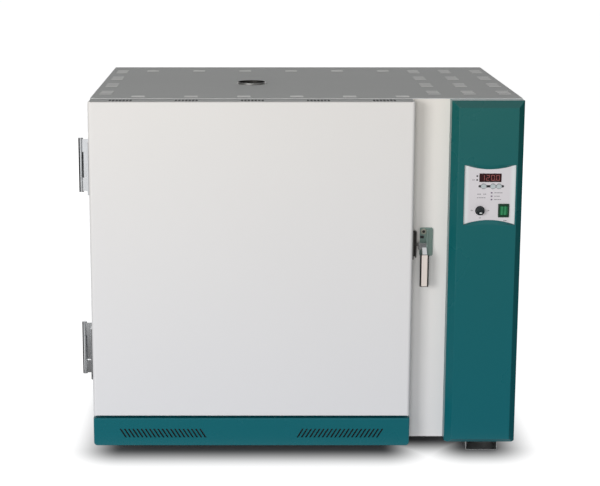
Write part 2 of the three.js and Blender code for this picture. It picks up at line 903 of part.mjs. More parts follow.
// The fan wheel: a back plate with backward blades, a front ring, its hub and its shaft.
function fanWheel() {
  const back = fanRoomBack - fanBackGap;
  const front = back - fanDepth;
  const centre = [chamberMidX, chamberMidZ];
  const plate = bar('y', fanRadius, back - fanPlate, back, centre, fineSteps);
  const ring = cutBy(
    bar('y', fanRadius, front, front + fanPlate, centre, fineSteps),
    bar('y', fanRadius * fanMouthShare, front - overrun, front + fanPlate + overrun, centre,
      fineSteps));
  const hub = bar('y', fanHubRadius, front + fanDepth / 2, back, centre);
  const shaft = bar('y', shaftRadius, front + fanDepth / 2,
    insulationBack + motorGap + shaftSeat, centre, smallSteps);
  let wheel = joined(plate, ring, hub, shaft);
  for (let i = 0; i < fanBladeCount; i += 1) {
    const angle = (i / fanBladeCount) * Math.PI * 2;
    const blade = new THREE.BoxGeometry(
      fanRadius * fanBladeShare, fanDepth - fanPlate, fanBladeThickness);
    blade.rotateY(fanBladeLean);
    blade.translate(fanRadius * fanBladeMidShare, 0, 0);
    blade.rotateY(-angle);
    blade.translate(chamberMidX, (front + back) / 2, chamberMidZ);
    wheel = wheel.add(solidOf(blade));
  }
  return wheel;
}

// The fan motor stands on the back panel; its front boss takes the end of the shaft.
function fanMotor() {
  const front = insulationBack + motorGap;
  const back = backPanelFront - seat;
  const centre = [chamberMidX, chamberMidZ];
  let motor = joined(
    bar('y', motorRadius, front + motorFlange, back, centre, fineSteps),
    bar('y', fanHubRadius, front, front + 2 * motorFlange, centre, smallSteps),
    bar('y', motorFlangeRadius, back - motorFlange, back, centre, fineSteps));
  for (let i = 0; i < motorFinCount; i += 1) {
    const fin = new THREE.BoxGeometry(
      motorFinHeight * 2, back - front - 4 * motorFlange, motorFinWidth);
    fin.translate(motorRadius, (front + back) / 2, 0);
    fin.rotateY((i / motorFinCount) * Math.PI * 2);
    fin.translate(chamberMidX, 0, chamberMidZ);
    motor = motor.add(solidOf(fin));
  }
  return cutBy(motor, bore('y', shaftRadius, front - overrun, front + shaftSeat + seat, centre));
}

function temperatureProbe() {
  const centre = [chamberRight - probeInset, chamberTop - probeInset];
  const nutFront = insulationBack + seat;
  return joined(
    bar('y', probeRadius, baffleFront - probeReach, nutFront + probeNutLength, centre, smallSteps),
    bar('y', probeNutRadius, nutFront, nutFront + probeNutLength, centre, nutSides));
}

const shelfHeights = shelfHeightShares.map(
  (share) => chamberBottom + (chamberTop - chamberBottom) * share);
const shelfBack = baffleFront - shelfBackGap;

// A shelf rail: a sheet against the chamber's wall with one standing ledge for each shelf.
function shelfRail(side) {
  const wall = side < 0 ? chamberLeft + seat : chamberRight - seat;
  const inner = wall - side * railSheet;
  const ledgeEnd = wall - side * railLedge;
  const low = Math.min(wall, inner);
  const high = Math.max(wall, inner);
  const height = chamberTop - chamberBottom;
  const bottom = chamberBottom + height * railEndShare;
  const top = chamberTop - height * railEndShare;
  const back = shelfBack + shelfRodRadius;
  let rail = box(low, high, railFrontInset, back, bottom, top);
  for (const z of shelfHeights) {
    const ledgeTop = z - shelfRodRadius - seat;
    rail = rail.add(box(Math.min(wall, ledgeEnd), Math.max(wall, ledgeEnd), railFrontInset, back,
      ledgeTop - railSheet, ledgeTop));
  }
  return rail;
}

// A wire shelf, drawn round its own height: a rod frame, a cross rod and front-to-back wires.
// The side rods and the wires stand a little inside the front and back rods that they join.
function wireShelf() {
  const left = chamberLeft + railSheet + 2 * seat + shelfRodRadius;
  const right = chamberRight - railSheet - 2 * seat - shelfRodRadius;
  const front = shelfFrontInset;
  const back = shelfBack;
  const rod = shelfRodRadius;
  let shelf = joined(
    bar('x', rod, left - rod, right + rod, [front, 0], smallSteps),
    bar('x', rod, left - rod, right + rod, [back, 0], smallSteps),
    bar('y', rod - shelfWireDrop, front, back, [left, 0], smallSteps),
    bar('y', rod - shelfWireDrop, front, back, [right, 0], smallSteps));
  const wires = Math.max(1, Math.round((right - left) / shelfWirePitch) - 1);
  const wireZ = rod - shelfWireRadius - shelfWireDrop;
  for (let i = 1; i <= wires; i += 1) {
    const x = left + ((right - left) * i) / (wires + 1);
    shelf = shelf.add(bar('y', shelfWireRadius, front, back, [x, wireZ], wireSides));
  }
  return shelf.add(bar('x', shelfCrossRadius, left, right,
    [(front + back) / 2, -shelfCrossRadius / 2], wireSides));
}

// Exhaust vent

function ventPipe() {
  const bottom = chamberTop + linerWall + seat;
  const top = bodyTop + ventProud;
  const centre = [chamberMidX, ventY];
  const pipe = joined(
    bar('z', ventRadius, bottom, top, centre, fineSteps),
    bar('z', ventRadius + ventFlange, bottom, bottom + ventWall, centre, fineSteps));
  const inside = bar('z', ventRadius - ventWall, bottom - overrun, top + overrun, centre, fineSteps);
  const spindleHole = bore('x', spindleRadius,
    chamberMidX - ventRadius - overrun, chamberMidX + ventRadius + overrun,
    [ventY, bodyTop + ventProud - damperDrop]);
  return cutBy(pipe, inside, spindleHole);
}

// The damper, drawn round its own pivot: a disc on a spindle with a finger tab near its back.
function ventDamper() {
  const radius = ventRadius - ventWall - damperRim;
  const half = damperSheet / 2;
  const tabBack = radius - damperTabInset;
  return joined(
    bar('z', radius, -half, half, [0, 0], fineSteps),
    bar('x', spindleRadius, -ventRadius, ventRadius, [0, 0], smallSteps),
    box(-damperTabWidth / 2, damperTabWidth / 2, tabBack - damperSheet, tabBack, 0, damperTabHeight));
}

// Door

function doorOutline(inset) {
  const corner = Math.max(doorCorner - inset, inset / 2);
  return roundedRect(inset, doorWidth - inset, doorBottom + inset, bodyTop - inset, corner);
}

// The door seen from above, with its two upright front edges rolled round.
function doorSection(inset) {
  const radius = doorRoll - inset;
  const left = inset;
  const right = doorWidth - inset;
  const front = doorFront + inset;
  const back = doorBack + 2 * overrun;
  const quarter = Math.PI / 2;
  const section = new THREE.Shape();
  section.moveTo(left, back);
  section.lineTo(left, front + radius);
  section.absarc(left + radius, front + radius, radius, 2 * quarter, 3 * quarter, false);
  section.lineTo(right - radius, front);
  section.absarc(right - radius, front + radius, radius, -quarter, 0, false);
  section.lineTo(right, back);
  return section;
}

function rolledBlock(outlineInset, inset, back) {
  return extruded(doorOutline(outlineInset), 'xz', doorFront + inset, back).intersect(
    extruded(doorSection(inset), 'xy', doorBottom, bodyTop, doorRollSteps));
}

// The outer skin is a deep pan; its top edge is pierced by groups of small vent holes.
function doorOuterSkin() {
  const pan = cutBy(rolledBlock(0, 0, doorBack), rolledBlock(sheet, sheet, doorBack + overrun));
  let holes = null;
  for (const share of doorHoleGroupShares) {
    for (let i = 0; i < doorHoleCount; i += 1) {
      const x = doorWidth * share + (i - (doorHoleCount - 1) / 2) * doorHolePitch;
      const hole = bar('z', doorHoleRadius, bodyTop - sheet - overrun / 2, bodyTop + overrun,
        [x, doorFront + doorHoleSetback], doorHoleSides);
      holes = holes ? holes.add(hole) : hole;
    }
  }
  return pan.subtract(holes);
}

// The inner skin is a tray that closes the pan, with a fold that grips the pan's sides.
function doorInnerSkin() {
  const inset = sheet + seat;
  const back = doorBack;
  return cutBy(
    extruded(doorOutline(inset), 'xz', back - doorFold, back),
    extruded(doorOutline(inset + sheet), 'xz', back - doorFold - overrun, back - sheet));
}

// The wool block leaves a space under the pan's top edge, so that the vent holes open into air.
function doorInsulation() {
  const inset = 2 * sheet + 2 * seat;
  return cutBy(
    rolledBlock(inset, sheet + seat, doorBack - sheet - seat),
    box(-overrun, doorWidth + overrun, doorFront - overrun, doorBack - doorFold - seat,
      bodyTop - inset - doorHoleSpace, bodyTop));
}

function doorGasket() {
  const outer = gasketInset + gasketWidth;
  const ring = (grow, radius) => roundedRect(chamberLeft - grow, chamberRight + grow,
    chamberBottom - grow, chamberTop + grow, radius);
  return cutBy(
    extruded(ring(outer, gasketCorner + gasketWidth), 'xz', doorBack + seat, -seat),
    extruded(ring(gasketInset, gasketCorner), 'xz', doorBack - overrun, overrun));
}

// Hinges, drawn round the pin's axis at the middle of the barrel

function hingeFrameLeaf() {
  const half = hingeLength / 2;
  const knuckle = half - hingeKnuckle - seat;
  const plateX = hingeReach - seat;
  const webFront = hingeWebGap;
  return cutBy(
    joined(
      bar('z', hingeBarrelRadius, -knuckle, knuckle, [0, 0]),
      box(0, plateX, webFront, webFront + hingeWeb, -knuckle, knuckle),
      box(plateX - hingeLeafThickness, plateX, webFront, hingeEdgeGap + hingeLeafWidth,
        -knuckle - hingeLeafTail, knuckle)),
    bore('z', hingePinRadius, -half, half, [0, 0]));
}

function hingeDoorLeaf() {
  const half = hingeLength / 2;
  const low = half - hingeKnuckle;
  const plateX = hingeReach - seat;
  const webBack = -hingeWebGap;
  const leafBack = -doorStandoff - hingeEdgeGap;
  const leafFront = Math.max(leafBack - hingeLeafWidth, -doorStandoff - doorThickness + hingeEdgeGap);
  let leaf = box(plateX - hingeLeafThickness, plateX, leafFront, webBack, -half, half);
  for (const side of [-1, 1]) {
    const near = Math.min(side * low, side * half);
    const far = Math.max(side * low, side * half);
    leaf = joined(leaf,
      bar('z', hingeBarrelRadius, near, far, [0, 0]),
      box(0, plateX, webBack - hingeWeb, webBack, near, far));
  }
  return cutBy(leaf, bore('z', hingePinRadius, -half - overrun, half + overrun, [0, 0]));
}

function hingePin() {
  const half = hingeLength / 2;
  return joined(
    bar('z', hingePinRadius, -half - seat, half + seat, [0, 0], smallSteps),
    bar('z', hingeBarrelRadius, half + seat, half + seat + hingeCapHeight, [0, 0]),
    bar('z', hingeBarrelRadius, -half - seat - hingeCapHeight, -half - seat, [0, 0]));
}

// Latch

// The base: a plate on the frame, a round screw boss, two ears for the pivot pin and a cheek
// that slopes from the right ear down to the plate's edge.
function latchBase() {
  const right = latchLeft + latchWidth;
  const low = latchMidZ - latchHeight / 2;
  const high = latchMidZ + latchHeight / 2;
  const plate = extruded(
    roundedRect(latchLeft, right, low, high, latchCorner), 'xz', latchPlateFront, -seat);
  const boss = bar('y', latchBossRadius, latchPlateFront - latchBossHeight,
    latchPlateFront + latchPlate / 2, [latchLeft + latchBossInset, high - latchBossInset]);
  let base = joined(plate, boss);
  const hubHalf = latchHubWidth / 2 + seat;
  for (const side of [-1, 1]) {
    const inner = latchPivotX + side * hubHalf;
    const outer = inner + side * latchEar;
    const near = Math.min(inner, outer);
    const far = Math.max(inner, outer);
    base = joined(base,
      bar('x', latchEarRadius, near, far, [latchPivotY, latchPivotZ]),
      box(near, far, latchPivotY, latchPlateFront + latchPlate / 2,
        latchPivotZ - latchEarRadius, latchPivotZ + latchEarRadius));
  }
  const earRight = latchPivotX + hubHalf + latchEar;
  const crest = latchPivotY - latchCheekRise;
  const land = latchPlateFront + latchPlate / 2;
  const cheek = outlineOf([
    [earRight - latchEar, land], [earRight - latchEar, crest], [earRight, crest],
    [right - latchCheekLand, latchPlateFront], [right - latchCheekLand, land],
  ]);
  base = joined(base, extruded(cheek, 'xy', low + latchCheekInset, high - latchCheekInset));
  return cutBy(base, bore('x', latchPinRadius, latchLeft - overrun, earRight + seat,
    [latchPivotY, latchPivotZ]));
}

// The lever, drawn round its pivot: hub, neck, the hanging paddle and the claw at its left.
function latchLever() {
  const hubHalf = latchHubWidth / 2;
  const hub = bar('x', latchHubRadius, -hubHalf, hubHalf, [0, 0]);
  const paddleTop = -paddleDrop;
  const paddleBack = -paddleStandoff + paddleDepth;
  const clawBack = -clawStandoff;
  const neck = outlineOf([
    [clawBack - clawPlate, latchHubRadius], [0, latchHubRadius],
    [0, -latchHubRadius], [-latchHubRadius, -latchHubRadius],
    [paddleBack, paddleTop - paddleWall], [-paddleStandoff, paddleTop - paddleWall],
    [-paddleStandoff, paddleTop + paddleWall], [clawBack - clawPlate, 0],
  ]);
  const half = paddleWidth / 2;
  const front = -paddleStandoff;
  const round = paddleDepth / 2;
  const section = new THREE.Shape();
  section.moveTo(-half, paddleBack);
  section.lineTo(-half, front + round);
  section.absarc(-half + round, front + round, round, Math.PI, Math.PI * 1.5, false);
  section.lineTo(half - round, front);
  section.absarc(half - round, front + round, round, -Math.PI / 2, 0, false);
  section.lineTo(half, paddleBack);
  section.lineTo(half - paddleWall, paddleBack);
  section.lineTo(half - paddleWall, front + paddleWall);
  section.lineTo(-half + paddleWall, front + paddleWall);
  section.lineTo(-half + paddleWall, paddleBack);
  const paddle = extruded(section, 'xy', paddleTop - paddleLength, paddleTop);
  const cap = extruded(roundedRect(-half, half, front, paddleBack, paddleWall), 'xy',
    paddleTop - paddleWall, paddleTop);
  const clawLeft = -(latchPivotX - latchLeft) - (latchGap - keeperReach() - keeperGap);
  const clawTop = clawHeight * clawRiseShare;
  const claw = box(clawLeft, hubHalf, clawBack - clawPlate, clawBack,
    clawTop - clawHeight, clawTop);
  const lip = box(clawLeft, clawLeft + clawPlate, clawBack - clawPlate, clawBack + clawLip,
    clawTop - clawHeight, clawTop);
  return cutBy(
    joined(hub, extruded(neck, 'yz', -hubHalf, hubHalf), paddle, cap, claw, lip),
    bore('x', latchPinRadius, -hubHalf - overrun, hubHalf + overrun, [0, 0]));
}

function latchPin() {
  const half = latchHubWidth / 2 + seat + latchEar;
  return bar('x', latchPinRadius, latchPivotX - half, latchPivotX + half,
    [latchPivotY, latchPivotZ], smallSteps);
}

function keeperReach() {
  return keeperLipReach + rollerReach;
}

// The keeper on the door's edge: a mounting plate, a standing lip and the roller between them.
function doorKeeper() {
  const left = doorWidth + seat;
  const low = latchMidZ - keeperHeight / 2;
  const high = latchMidZ + keeperHeight / 2;
  const back = doorBack - keeperSetback;
  const front = doorFront + keeperSetback;
  const lipX = doorWidth + keeperLipReach;
  const rollerY = latchPivotY - clawStandoff - clawPlate / 2;
  return joined(
    box(left, left + keeperPlate, front, back, low, high),
    box(left, lipX, back - keeperPlate, back, low, high),
    box(lipX - keeperPlate, lipX, back - 2 * keeperSetback, back, low, high),
    bar('x', rollerRadius, left + keeperPlate / 2, doorWidth + keeperReach(),
      [rollerY, latchPivotZ + latchEarRadius], smallSteps));
}

// Control column

// The column's outline from above, with both front edges bevelled; inset follows its wall.
function columnSection(inset) {
  const left = columnLeft + inset;
  const right = bodyWidth - inset;
  const front = columnFront + inset;
  const back = inset > 0 ? overrun : -seat;
  const slope = Math.hypot(columnBevelWidth, columnBevelDepth);
  const depth = columnBevelDepth + (inset * (slope - columnBevelDepth)) / columnBevelWidth;
  const width = columnBevelWidth + (inset * (slope - columnBevelWidth)) / columnBevelDepth;
  return outlineOf([
    [left, back], [left, columnFront + depth], [columnLeft + width, front],
    [bodyWidth - width, front], [right, columnFront + depth], [right, back],
  ]);
}

// The column's outline from the side, with the bevel along its top and a small one below.
function columnProfile(inset) {
  const bottom = columnBottom + inset;
  const top = columnTop - inset;
  const front = columnFront + inset;
  const back = inset > 0 ? overrun : -seat;
  const slope = Math.hypot(columnBevelWidth, columnBevelDepth);
  const depth = columnBevelDepth + (inset * (slope - columnBevelDepth)) / columnBevelWidth;
  const width = columnBevelWidth + (inset * (slope - columnBevelWidth)) / columnBevelDepth;
  return outlineOf([
    [back, bottom], [front + columnFootBevel, bottom], [front, bottom + columnFootBevel],
    [front, columnTop - width], [columnFront + depth, top], [back, top],
  ]);
}

function columnSolid(inset) {
  const along = extruded(columnSection(inset), 'xy', columnBottom + inset, columnTop - inset);
  const across = extruded(columnProfile(inset), 'yz', columnLeft + inset, bodyWidth - inset);
  return along.intersect(across);
}

// A lobe slopes from the column's face down to the plate and ends in a shallow arc.
function lobe(edge, upward) {
  const sections = [];
  const lap = columnWall;
  for (let i = 0; i <= lobeSteps; i += 1) {
    const share = i / lobeSteps;
    const x = windowLeft + (windowRight - windowLeft) * share;
    const sag = lobeEdge + lobeSag * (1 - (2 * share - 1) ** 2);
    sections.push([
      new THREE.Vector3(x, columnFront, edge + upward * lap),
      new THREE.Vector3(x, columnFront, edge),
      new THREE.Vector3(x, columnFront + lobeRecess, edge - upward * sag),
      new THREE.Vector3(x, columnFront + lobeRecess, edge + upward * lap),
    ]);
  }
  return lofted(sections);
}

function columnCover() {
  const shell = cutBy(columnSolid(0), columnSolid(columnWall));
  const opening = box(windowLeft, windowRight, columnFront - overrun,
    columnFront + columnWall + overrun, windowBottom, windowTop);
  return joined(cutBy(shell, opening), lobe(windowTop, 1), lobe(windowBottom, -1));
}

const keyCentres = [
  windowLeft + firstKeyInset, windowLeft + pairKeyInset, windowLeft + pairKeyInset + keyPitch,
];
const keyZ = windowTop - keyDrop;
const displayLeft = windowLeft + displayLeftInset;
const displayTop = windowTop - displayTopInset;
const knobX = windowLeft + knobInset;
const knobZ = windowTop - knobDrop;
const bezelLeft = windowLeft + bezelInset;
const bezelTop = windowTop - bezelDrop;
const bezelMidX = bezelLeft + bezelWidth / 2;
const bezelMidZ = bezelTop - bezelHeight / 2;
const bodyHalfWidth = bezelWidth / 2 - bezelLip;
const bodyHalfHeight = bezelHeight / 2 - bezelLip;
const boardFront = plateBack + 2 * seat + moduleDepth;

function controlPlate() {
  const plate = box(windowLeft - plateMargin, windowRight + plateMargin, plateFront, plateBack,
    windowBottom - plateMargin, windowTop + plateMargin);
  const front = plateFront - overrun;
  const back = plateBack + overrun;
  const cuts = [
    box(displayLeft - seat, displayLeft + displayWidth + seat, front, back,
      displayTop - displayHeight - seat, displayTop + seat),
    box(bezelMidX - bodyHalfWidth - seat, bezelMidX + bodyHalfWidth + seat, front, back,
      bezelMidZ - bodyHalfHeight - seat, bezelMidZ + bodyHalfHeight + seat),
    bore('y', knobShaftRadius, front, back, [knobX, knobZ]),
  ];
  for (const x of keyCentres) {
    cuts.push(bar('y', keyDiameter / 2 + keyClearance, front, back, [x, keyZ]));
  }
  return cutBy(plate, ...cuts);
}

function displayLens() {
  return box(displayLeft, displayLeft + displayWidth, plateFront, plateFront + lensThickness,
    displayTop - displayHeight, displayTop);
}

// The display block sits behind the lens and carries the board.
function displayModule() {
  const front = plateFront + lensThickness + seat;
  return box(displayLeft - moduleMargin, displayLeft + displayWidth + moduleMargin,
    front, boardFront - seat, displayTop - displayHeight - moduleMargin, displayTop + moduleMargin);
}

function controlBoard() {
  const bottom = keyZ - keyDiameter - boardMargin;
  return box(displayLeft - boardMargin, displayLeft + displayWidth + boardMargin,
    boardFront, boardFront + boardThickness, bottom, displayTop + boardMargin);
}

// A key, drawn round its own axis: a thick disc on a stem that reaches for the board.
function pushKey() {
  return joined(
    bar('y', keyDiameter / 2, plateFront - keyProud, plateFront - keyProud + keyDepth, [0, 0]),
    bar('y', keyStemRadius, plateFront, boardFront - keyTravelGap, [0, 0], smallSteps));
}

// The limiter knob, drawn round its own axis: a fluted grip on a shaft.
function limiterKnob() {
  const back = plateFront - seat;
  const front = back - knobHeight;
  const grip = knobRadius * knobGripShare;
  let knob = joined(
    bar('y', knobRadius, front + knobHeight / 2, back, [0, 0], fineSteps),
    bar('y', grip, front, back, [0, 0], fineSteps),
    bar('y', knobShaftRadius, back - knobHeight / 4, plateBack + limiterDepth / 2,
      [0, 0], smallSteps));
  for (let i = 0; i < knobFluteCount; i += 1) {
    const angle = ((i + 1 / 2) / knobFluteCount) * Math.PI * 2;
    knob = knob.subtract(bar('y', knobFluteRadius, front - overrun, front + knobHeight / 2,
      [grip * Math.cos(angle), grip * Math.sin(angle)], knobFluteSides));
  }
  return knob;
}

function limiterBody() {
  const front = plateBack + seat;
  return cutBy(
    bar('y', limiterRadius, front, front + limiterDepth, [knobX, knobZ]),
    bore('y', knobShaftRadius, front - overrun, plateBack + limiterDepth / 2 + seat,
      [knobX, knobZ]));
}

const rockerHalfHeight = bezelHeight / 2 - bezelRim - bezelLip;
const rockerHalfWidth = bezelWidth / 2 - bezelRim - bezelLip / 2;
const bezelFront = plateFront - seat - bezelThickness;
const rockerPivotY = bezelFront + rockerHalfHeight * rockerPivotShare;

// The switch bezel: a framed lip on the plate and a body behind it with the rocker's well.
function powerSwitchBezel() {
  const lip = extruded(roundedRect(bezelLeft, bezelLeft + bezelWidth,
    bezelTop - bezelHeight, bezelTop, bezelLip), 'xz', bezelFront, plateFront - seat);
  const back = plateBack + switchDepth;
  const body = box(bezelMidX - bodyHalfWidth, bezelMidX + bodyHalfWidth,
    bezelFront + bezelThickness / 2, back, bezelMidZ - bodyHalfHeight, bezelMidZ + bodyHalfHeight);
  const well = box(bezelMidX - rockerHalfWidth - seat, bezelMidX + rockerHalfWidth + seat,
    bezelFront - overrun, rockerPivotY + rockerHalfHeight + seat,
    bezelMidZ - rockerHalfHeight - seat, bezelMidZ + rockerHalfHeight + seat);
  const reach = rockerHalfWidth + trunnionLength + seat;
  const sockets = bore('x', trunnionRadius, bezelMidX - reach, bezelMidX + reach,
    [rockerPivotY, bezelMidZ]);
  return cutBy(joined(lip, body), well, sockets);
}

// The rocker, drawn round its pivot: a drum with two flat faces in front and two trunnions.
// Its lower half is pressed in, so its upper face stands upright and its lower one slopes.
function powerRocker() {
  const tilt = (rockerTilt * Math.PI) / 180;
  const reach = rockerHalfHeight * 2;
  const face = -rockerHalfHeight * rockerFaceShare;
  const crest = outlineOf([
    [face, 0], [face, reach], [face - reach, reach], [face - reach, -reach],
    [face + Math.tan(2 * tilt) * reach, -reach],
  ]);
  const drum = cutBy(
    bar('x', rockerHalfHeight, -rockerHalfWidth, rockerHalfWidth, [0, 0], fineSteps),
    extruded(crest, 'yz', -rockerHalfWidth - overrun, rockerHalfWidth + overrun));
  return joined(drum, bar('x', trunnionRadius, -rockerHalfWidth - trunnionLength,
    rockerHalfWidth + trunnionLength, [0, 0], smallSteps));
}

// Electrical tray

const trayLeft = partitionLeft + sheet + seat;
const trayFrontY = (insulationFront + backPanelFront - trayWidth) / 2;
const trayBottomZ = footHeight + bodyHeight * trayRiseShare;

function electricsTray() {
  return cutBy(
    box(trayLeft, trayLeft + trayFold, trayFrontY, trayFrontY + trayWidth,
      trayBottomZ, trayBottomZ + trayHeight),
    box(trayLeft - overrun, trayLeft + trayFold - sheet, trayFrontY + sheet,
      trayFrontY + trayWidth - sheet, trayBottomZ + sheet, trayBottomZ + trayHeight - sheet));
}

// The solid-state relay on its finned heat sink.
function relay() {
  const left = trayLeft + trayFold + seat;
  const front = trayFrontY + trayFold;
  const bottom = trayBottomZ + trayHeight / 2;
  let block = box(left, left + relayDepth, front, front + relayWidth, bottom, bottom + relayHeight);
  const pitch = relayWidth / relayFinCount;
  for (let i = 0; i < relayFinCount; i += 1) {
    const y = front + i * pitch;
    block = block.add(box(left + relayDepth / 2, left + relayDepth + relayFinDepth,
      y, y + pitch * relayFinShare, bottom, bottom + relayHeight));
  }
  return block;
}

function terminalBlock() {
  const left = trayLeft + trayFold + seat;
  const front = trayFrontY + trayFold;
  const bottom = trayBottomZ + trayFold;
  let block = box(left, left + terminalDepth, front, front + terminalWidth,
    bottom, bottom + terminalHeight);
  const pitch = terminalWidth / terminalWays;
  for (let i = 0; i < terminalWays; i += 1) {
    const y = front + (i + 1 / 2) * pitch;
    block = block.subtract(box(left + terminalDepth - terminalNotch, left + terminalDepth + overrun,
      y - terminalNotch / 2, y + terminalNotch / 2,
      bottom - overrun, bottom + terminalHeight * terminalNotchShare));
  }
  return block;
}

// The mains inlet in the back panel: a flanged shell with three flat blades in its recess.
function powerInlet() {
  const x = bodyWidth - inletSideInset;
  const z = footHeight + inletRise;
  const face = bodyDepth + seat + inletPlate;
  const halfWidth = inletWidth / 2;
  const halfHeight = inletHeight / 2;
  const flange = extruded(roundedRect(x - halfWidth - inletFlange, x + halfWidth + inletFlange,
    z - halfHeight - inletFlange / 2, z + halfHeight + inletFlange / 2, inletWall), 'xz',
  bodyDepth + seat, face);
  const shell = box(x - halfWidth, x + halfWidth, bodyDepth - inletDepth,
    face - inletPlate / 2, z - halfHeight, z + halfHeight);
  const recess = box(x - halfWidth + inletWall, x + halfWidth - inletWall,
    face - inletRecess, face + overrun, z - halfHeight + inletWall, z + halfHeight - inletWall);
  let inlet = cutBy(joined(flange, shell), recess);
  const blades = [[-1, -1], [1, -1], [0, 1]];
  for (const [across, up] of blades) {
    const bladeX = x + (across * inletWidth) / 4;
    const bladeZ = z + up * inletBladeDrop;
    inlet = inlet.add(box(bladeX - inletBladeWidth / 2, bladeX + inletBladeWidth / 2,
      face - inletRecess - inletWall / 2, face - inletRecess + inletBladeLength,
      bladeZ - inletBladeThickness / 2, bladeZ + inletBladeThickness / 2));
  }
  return inlet;
}

// Assembly

const casing = new THREE.Group();
casing.add(
  piece('left_side_panel', leftSidePanel(), 'ivoryPaint'),
  piece('right_side_panel', rightSidePanel(), 'ivoryPaint'),
  piece('top_panel', topPanel(), 'topPaint'),
  piece('back_panel', backPanel(), 'galvanised'),
  piece('bottom_pan', bottomPan(), 'galvanised'),
  piece('front_frame', frontFrame(), 'ivoryPaint'),
  piece('compartment_wall', partition(), 'galvanised'),
  piece('plinth_cover', plinthCover(), 'tealPaint'),
  placed(footSideInset, leftFootSetback, 0, piece('foot_front_left', foot(), 'galvanised')),
  placed(bodyWidth - footSideInset, -footReach, 0, piece('foot_front_right', foot(), 'galvanised')),
  placed(footSideInset, bodyDepth - rearFootInset, 0, piece('foot_rear_left', foot(), 'galvanised')),
  placed(bodyWidth - footSideInset, bodyDepth - rearFootInset, 0,
    piece('foot_rear_right', foot(), 'galvanised')),
);

const fanMid = fanRoomBack - fanBackGap - fanDepth / 2;
const chamber = new THREE.Group();
chamber.add(
  piece('chamber_liner', chamberLiner(), 'stainless'),
  piece('insulation_jacket', insulationJacket(), 'wool'),
  piece('air_baffle', airBaffle(), 'stainless'),
  piece('heater_inner', heater(heaterInnerRing, fanMid), 'stainless'),
  piece('heater_outer', heater(heaterOuterRing, fanMid), 'stainless'),
  piece('fan_wheel', fanWheel(), 'stainless'),
  piece('fan_motor', fanMotor(), 'motorPaint'),
  piece('temperature_probe', temperatureProbe(), 'stainless'),
  piece('shelf_rail_left', shelfRail(-1), 'stainless'),
  piece('shelf_rail_right', shelfRail(1), 'stainless'),
  placed(0, 0, shelfHeights[0], piece('shelf_lower', wireShelf(), 'stainless')),
  placed(0, 0, shelfHeights[1], piece('shelf_upper', wireShelf(), 'stainless')),
  piece('vent_pipe', ventPipe(), 'stainless'),
  placed(chamberMidX, ventY, bodyTop + ventProud - damperDrop,
    piece('vent_damper', ventDamper(), 'stainless')),
);

const door = new THREE.Group();
door.add(
  piece('door_outer_skin', doorOuterSkin(), 'ivoryPaint'),
  piece('door_inner_skin', doorInnerSkin(), 'stainless'),
  piece('door_insulation', doorInsulation(), 'wool'),
  piece('door_gasket', doorGasket(), 'siliconeGrey'),
  piece('door_keeper', doorKeeper(), 'chrome'),
);

const hinges = new THREE.Group();
['lower', 'upper'].forEach((place, i) => {
  const z = doorBottom + doorHeight * hingeHeightShares[i];
  hinges.add(placed(-hingeReach, 0, z,
    piece(`hinge_${place}_frame_leaf`, hingeFrameLeaf(), 'chrome'),
    piece(`hinge_${place}_door_leaf`, hingeDoorLeaf(), 'chrome'),
    piece(`hinge_${place}_pin`, hingePin(), 'chrome')));
});

const latch = new THREE.Group();
latch.add(
  piece('latch_base', latchBase(), 'chrome'),
  piece('latch_pin', latchPin(), 'chrome'),
  placed(latchPivotX, latchPivotY, latchPivotZ, piece('latch_lever', latchLever(), 'chrome')),
);

const column = new THREE.Group();
column.add(
  piece('column_cover', columnCover(), 'tealPaint'),
  piece('control_plate', controlPlate(), 'silverPlate'),
  piece('display_lens', displayLens(), 'displayRed'),
  piece('display_module', displayModule(), 'blackPlastic'),
  piece('control_board', controlBoard(), 'board'),
  placed(knobX, 0, knobZ, piece('limiter_knob', limiterKnob(), 'blackPlastic')),
  piece('limiter_body', limiterBody(), 'blackPlastic'),
  piece('power_switch_bezel', powerSwitchBezel(), 'darkGreen'),
  placed(bezelMidX, rockerPivotY, bezelMidZ, piece('power_rocker', powerRocker(), 'rockerGreen')),
);
['set', 'down', 'up'].forEach((use, i) => {
  column.add(placed(keyCentres[i], 0, keyZ, piece(`key_${use}`, pushKey(), 'keyIvory')));
});

const electrics = new THREE.Group();
electrics.add(
  piece('electrics_tray', electricsTray(), 'galvanised'),
  piece('relay_heat_sink', relay(), 'blackPlastic'),
  piece('terminal_block', terminalBlock(), 'keyIvory'),
  piece('power_inlet', powerInlet(), 'blackPlastic'),
);

const oven = new THREE.Group();
oven.add(casing, chamber, door, hinges, latch, column, electrics);
oven.position.set(-(bodyBoxLeft + bodyBoxRight) / 2, -(doorFront + bodyBoxBack) / 2, 0);

export default oven;
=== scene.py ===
"""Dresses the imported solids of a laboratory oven: finishes, fine pieces, stage and camera.

Everything is in metres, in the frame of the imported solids. The oven stands on the floor at
zero height, its door faces -Y, and its control column is at the right of the door.
"""

import json
import math
from contextlib import contextmanager
from functools import partial

import bmesh
import bpy
from bpy.props import FloatProperty, FloatVectorProperty, IntProperty, PointerProperty
from mathutils import Matrix, Vector

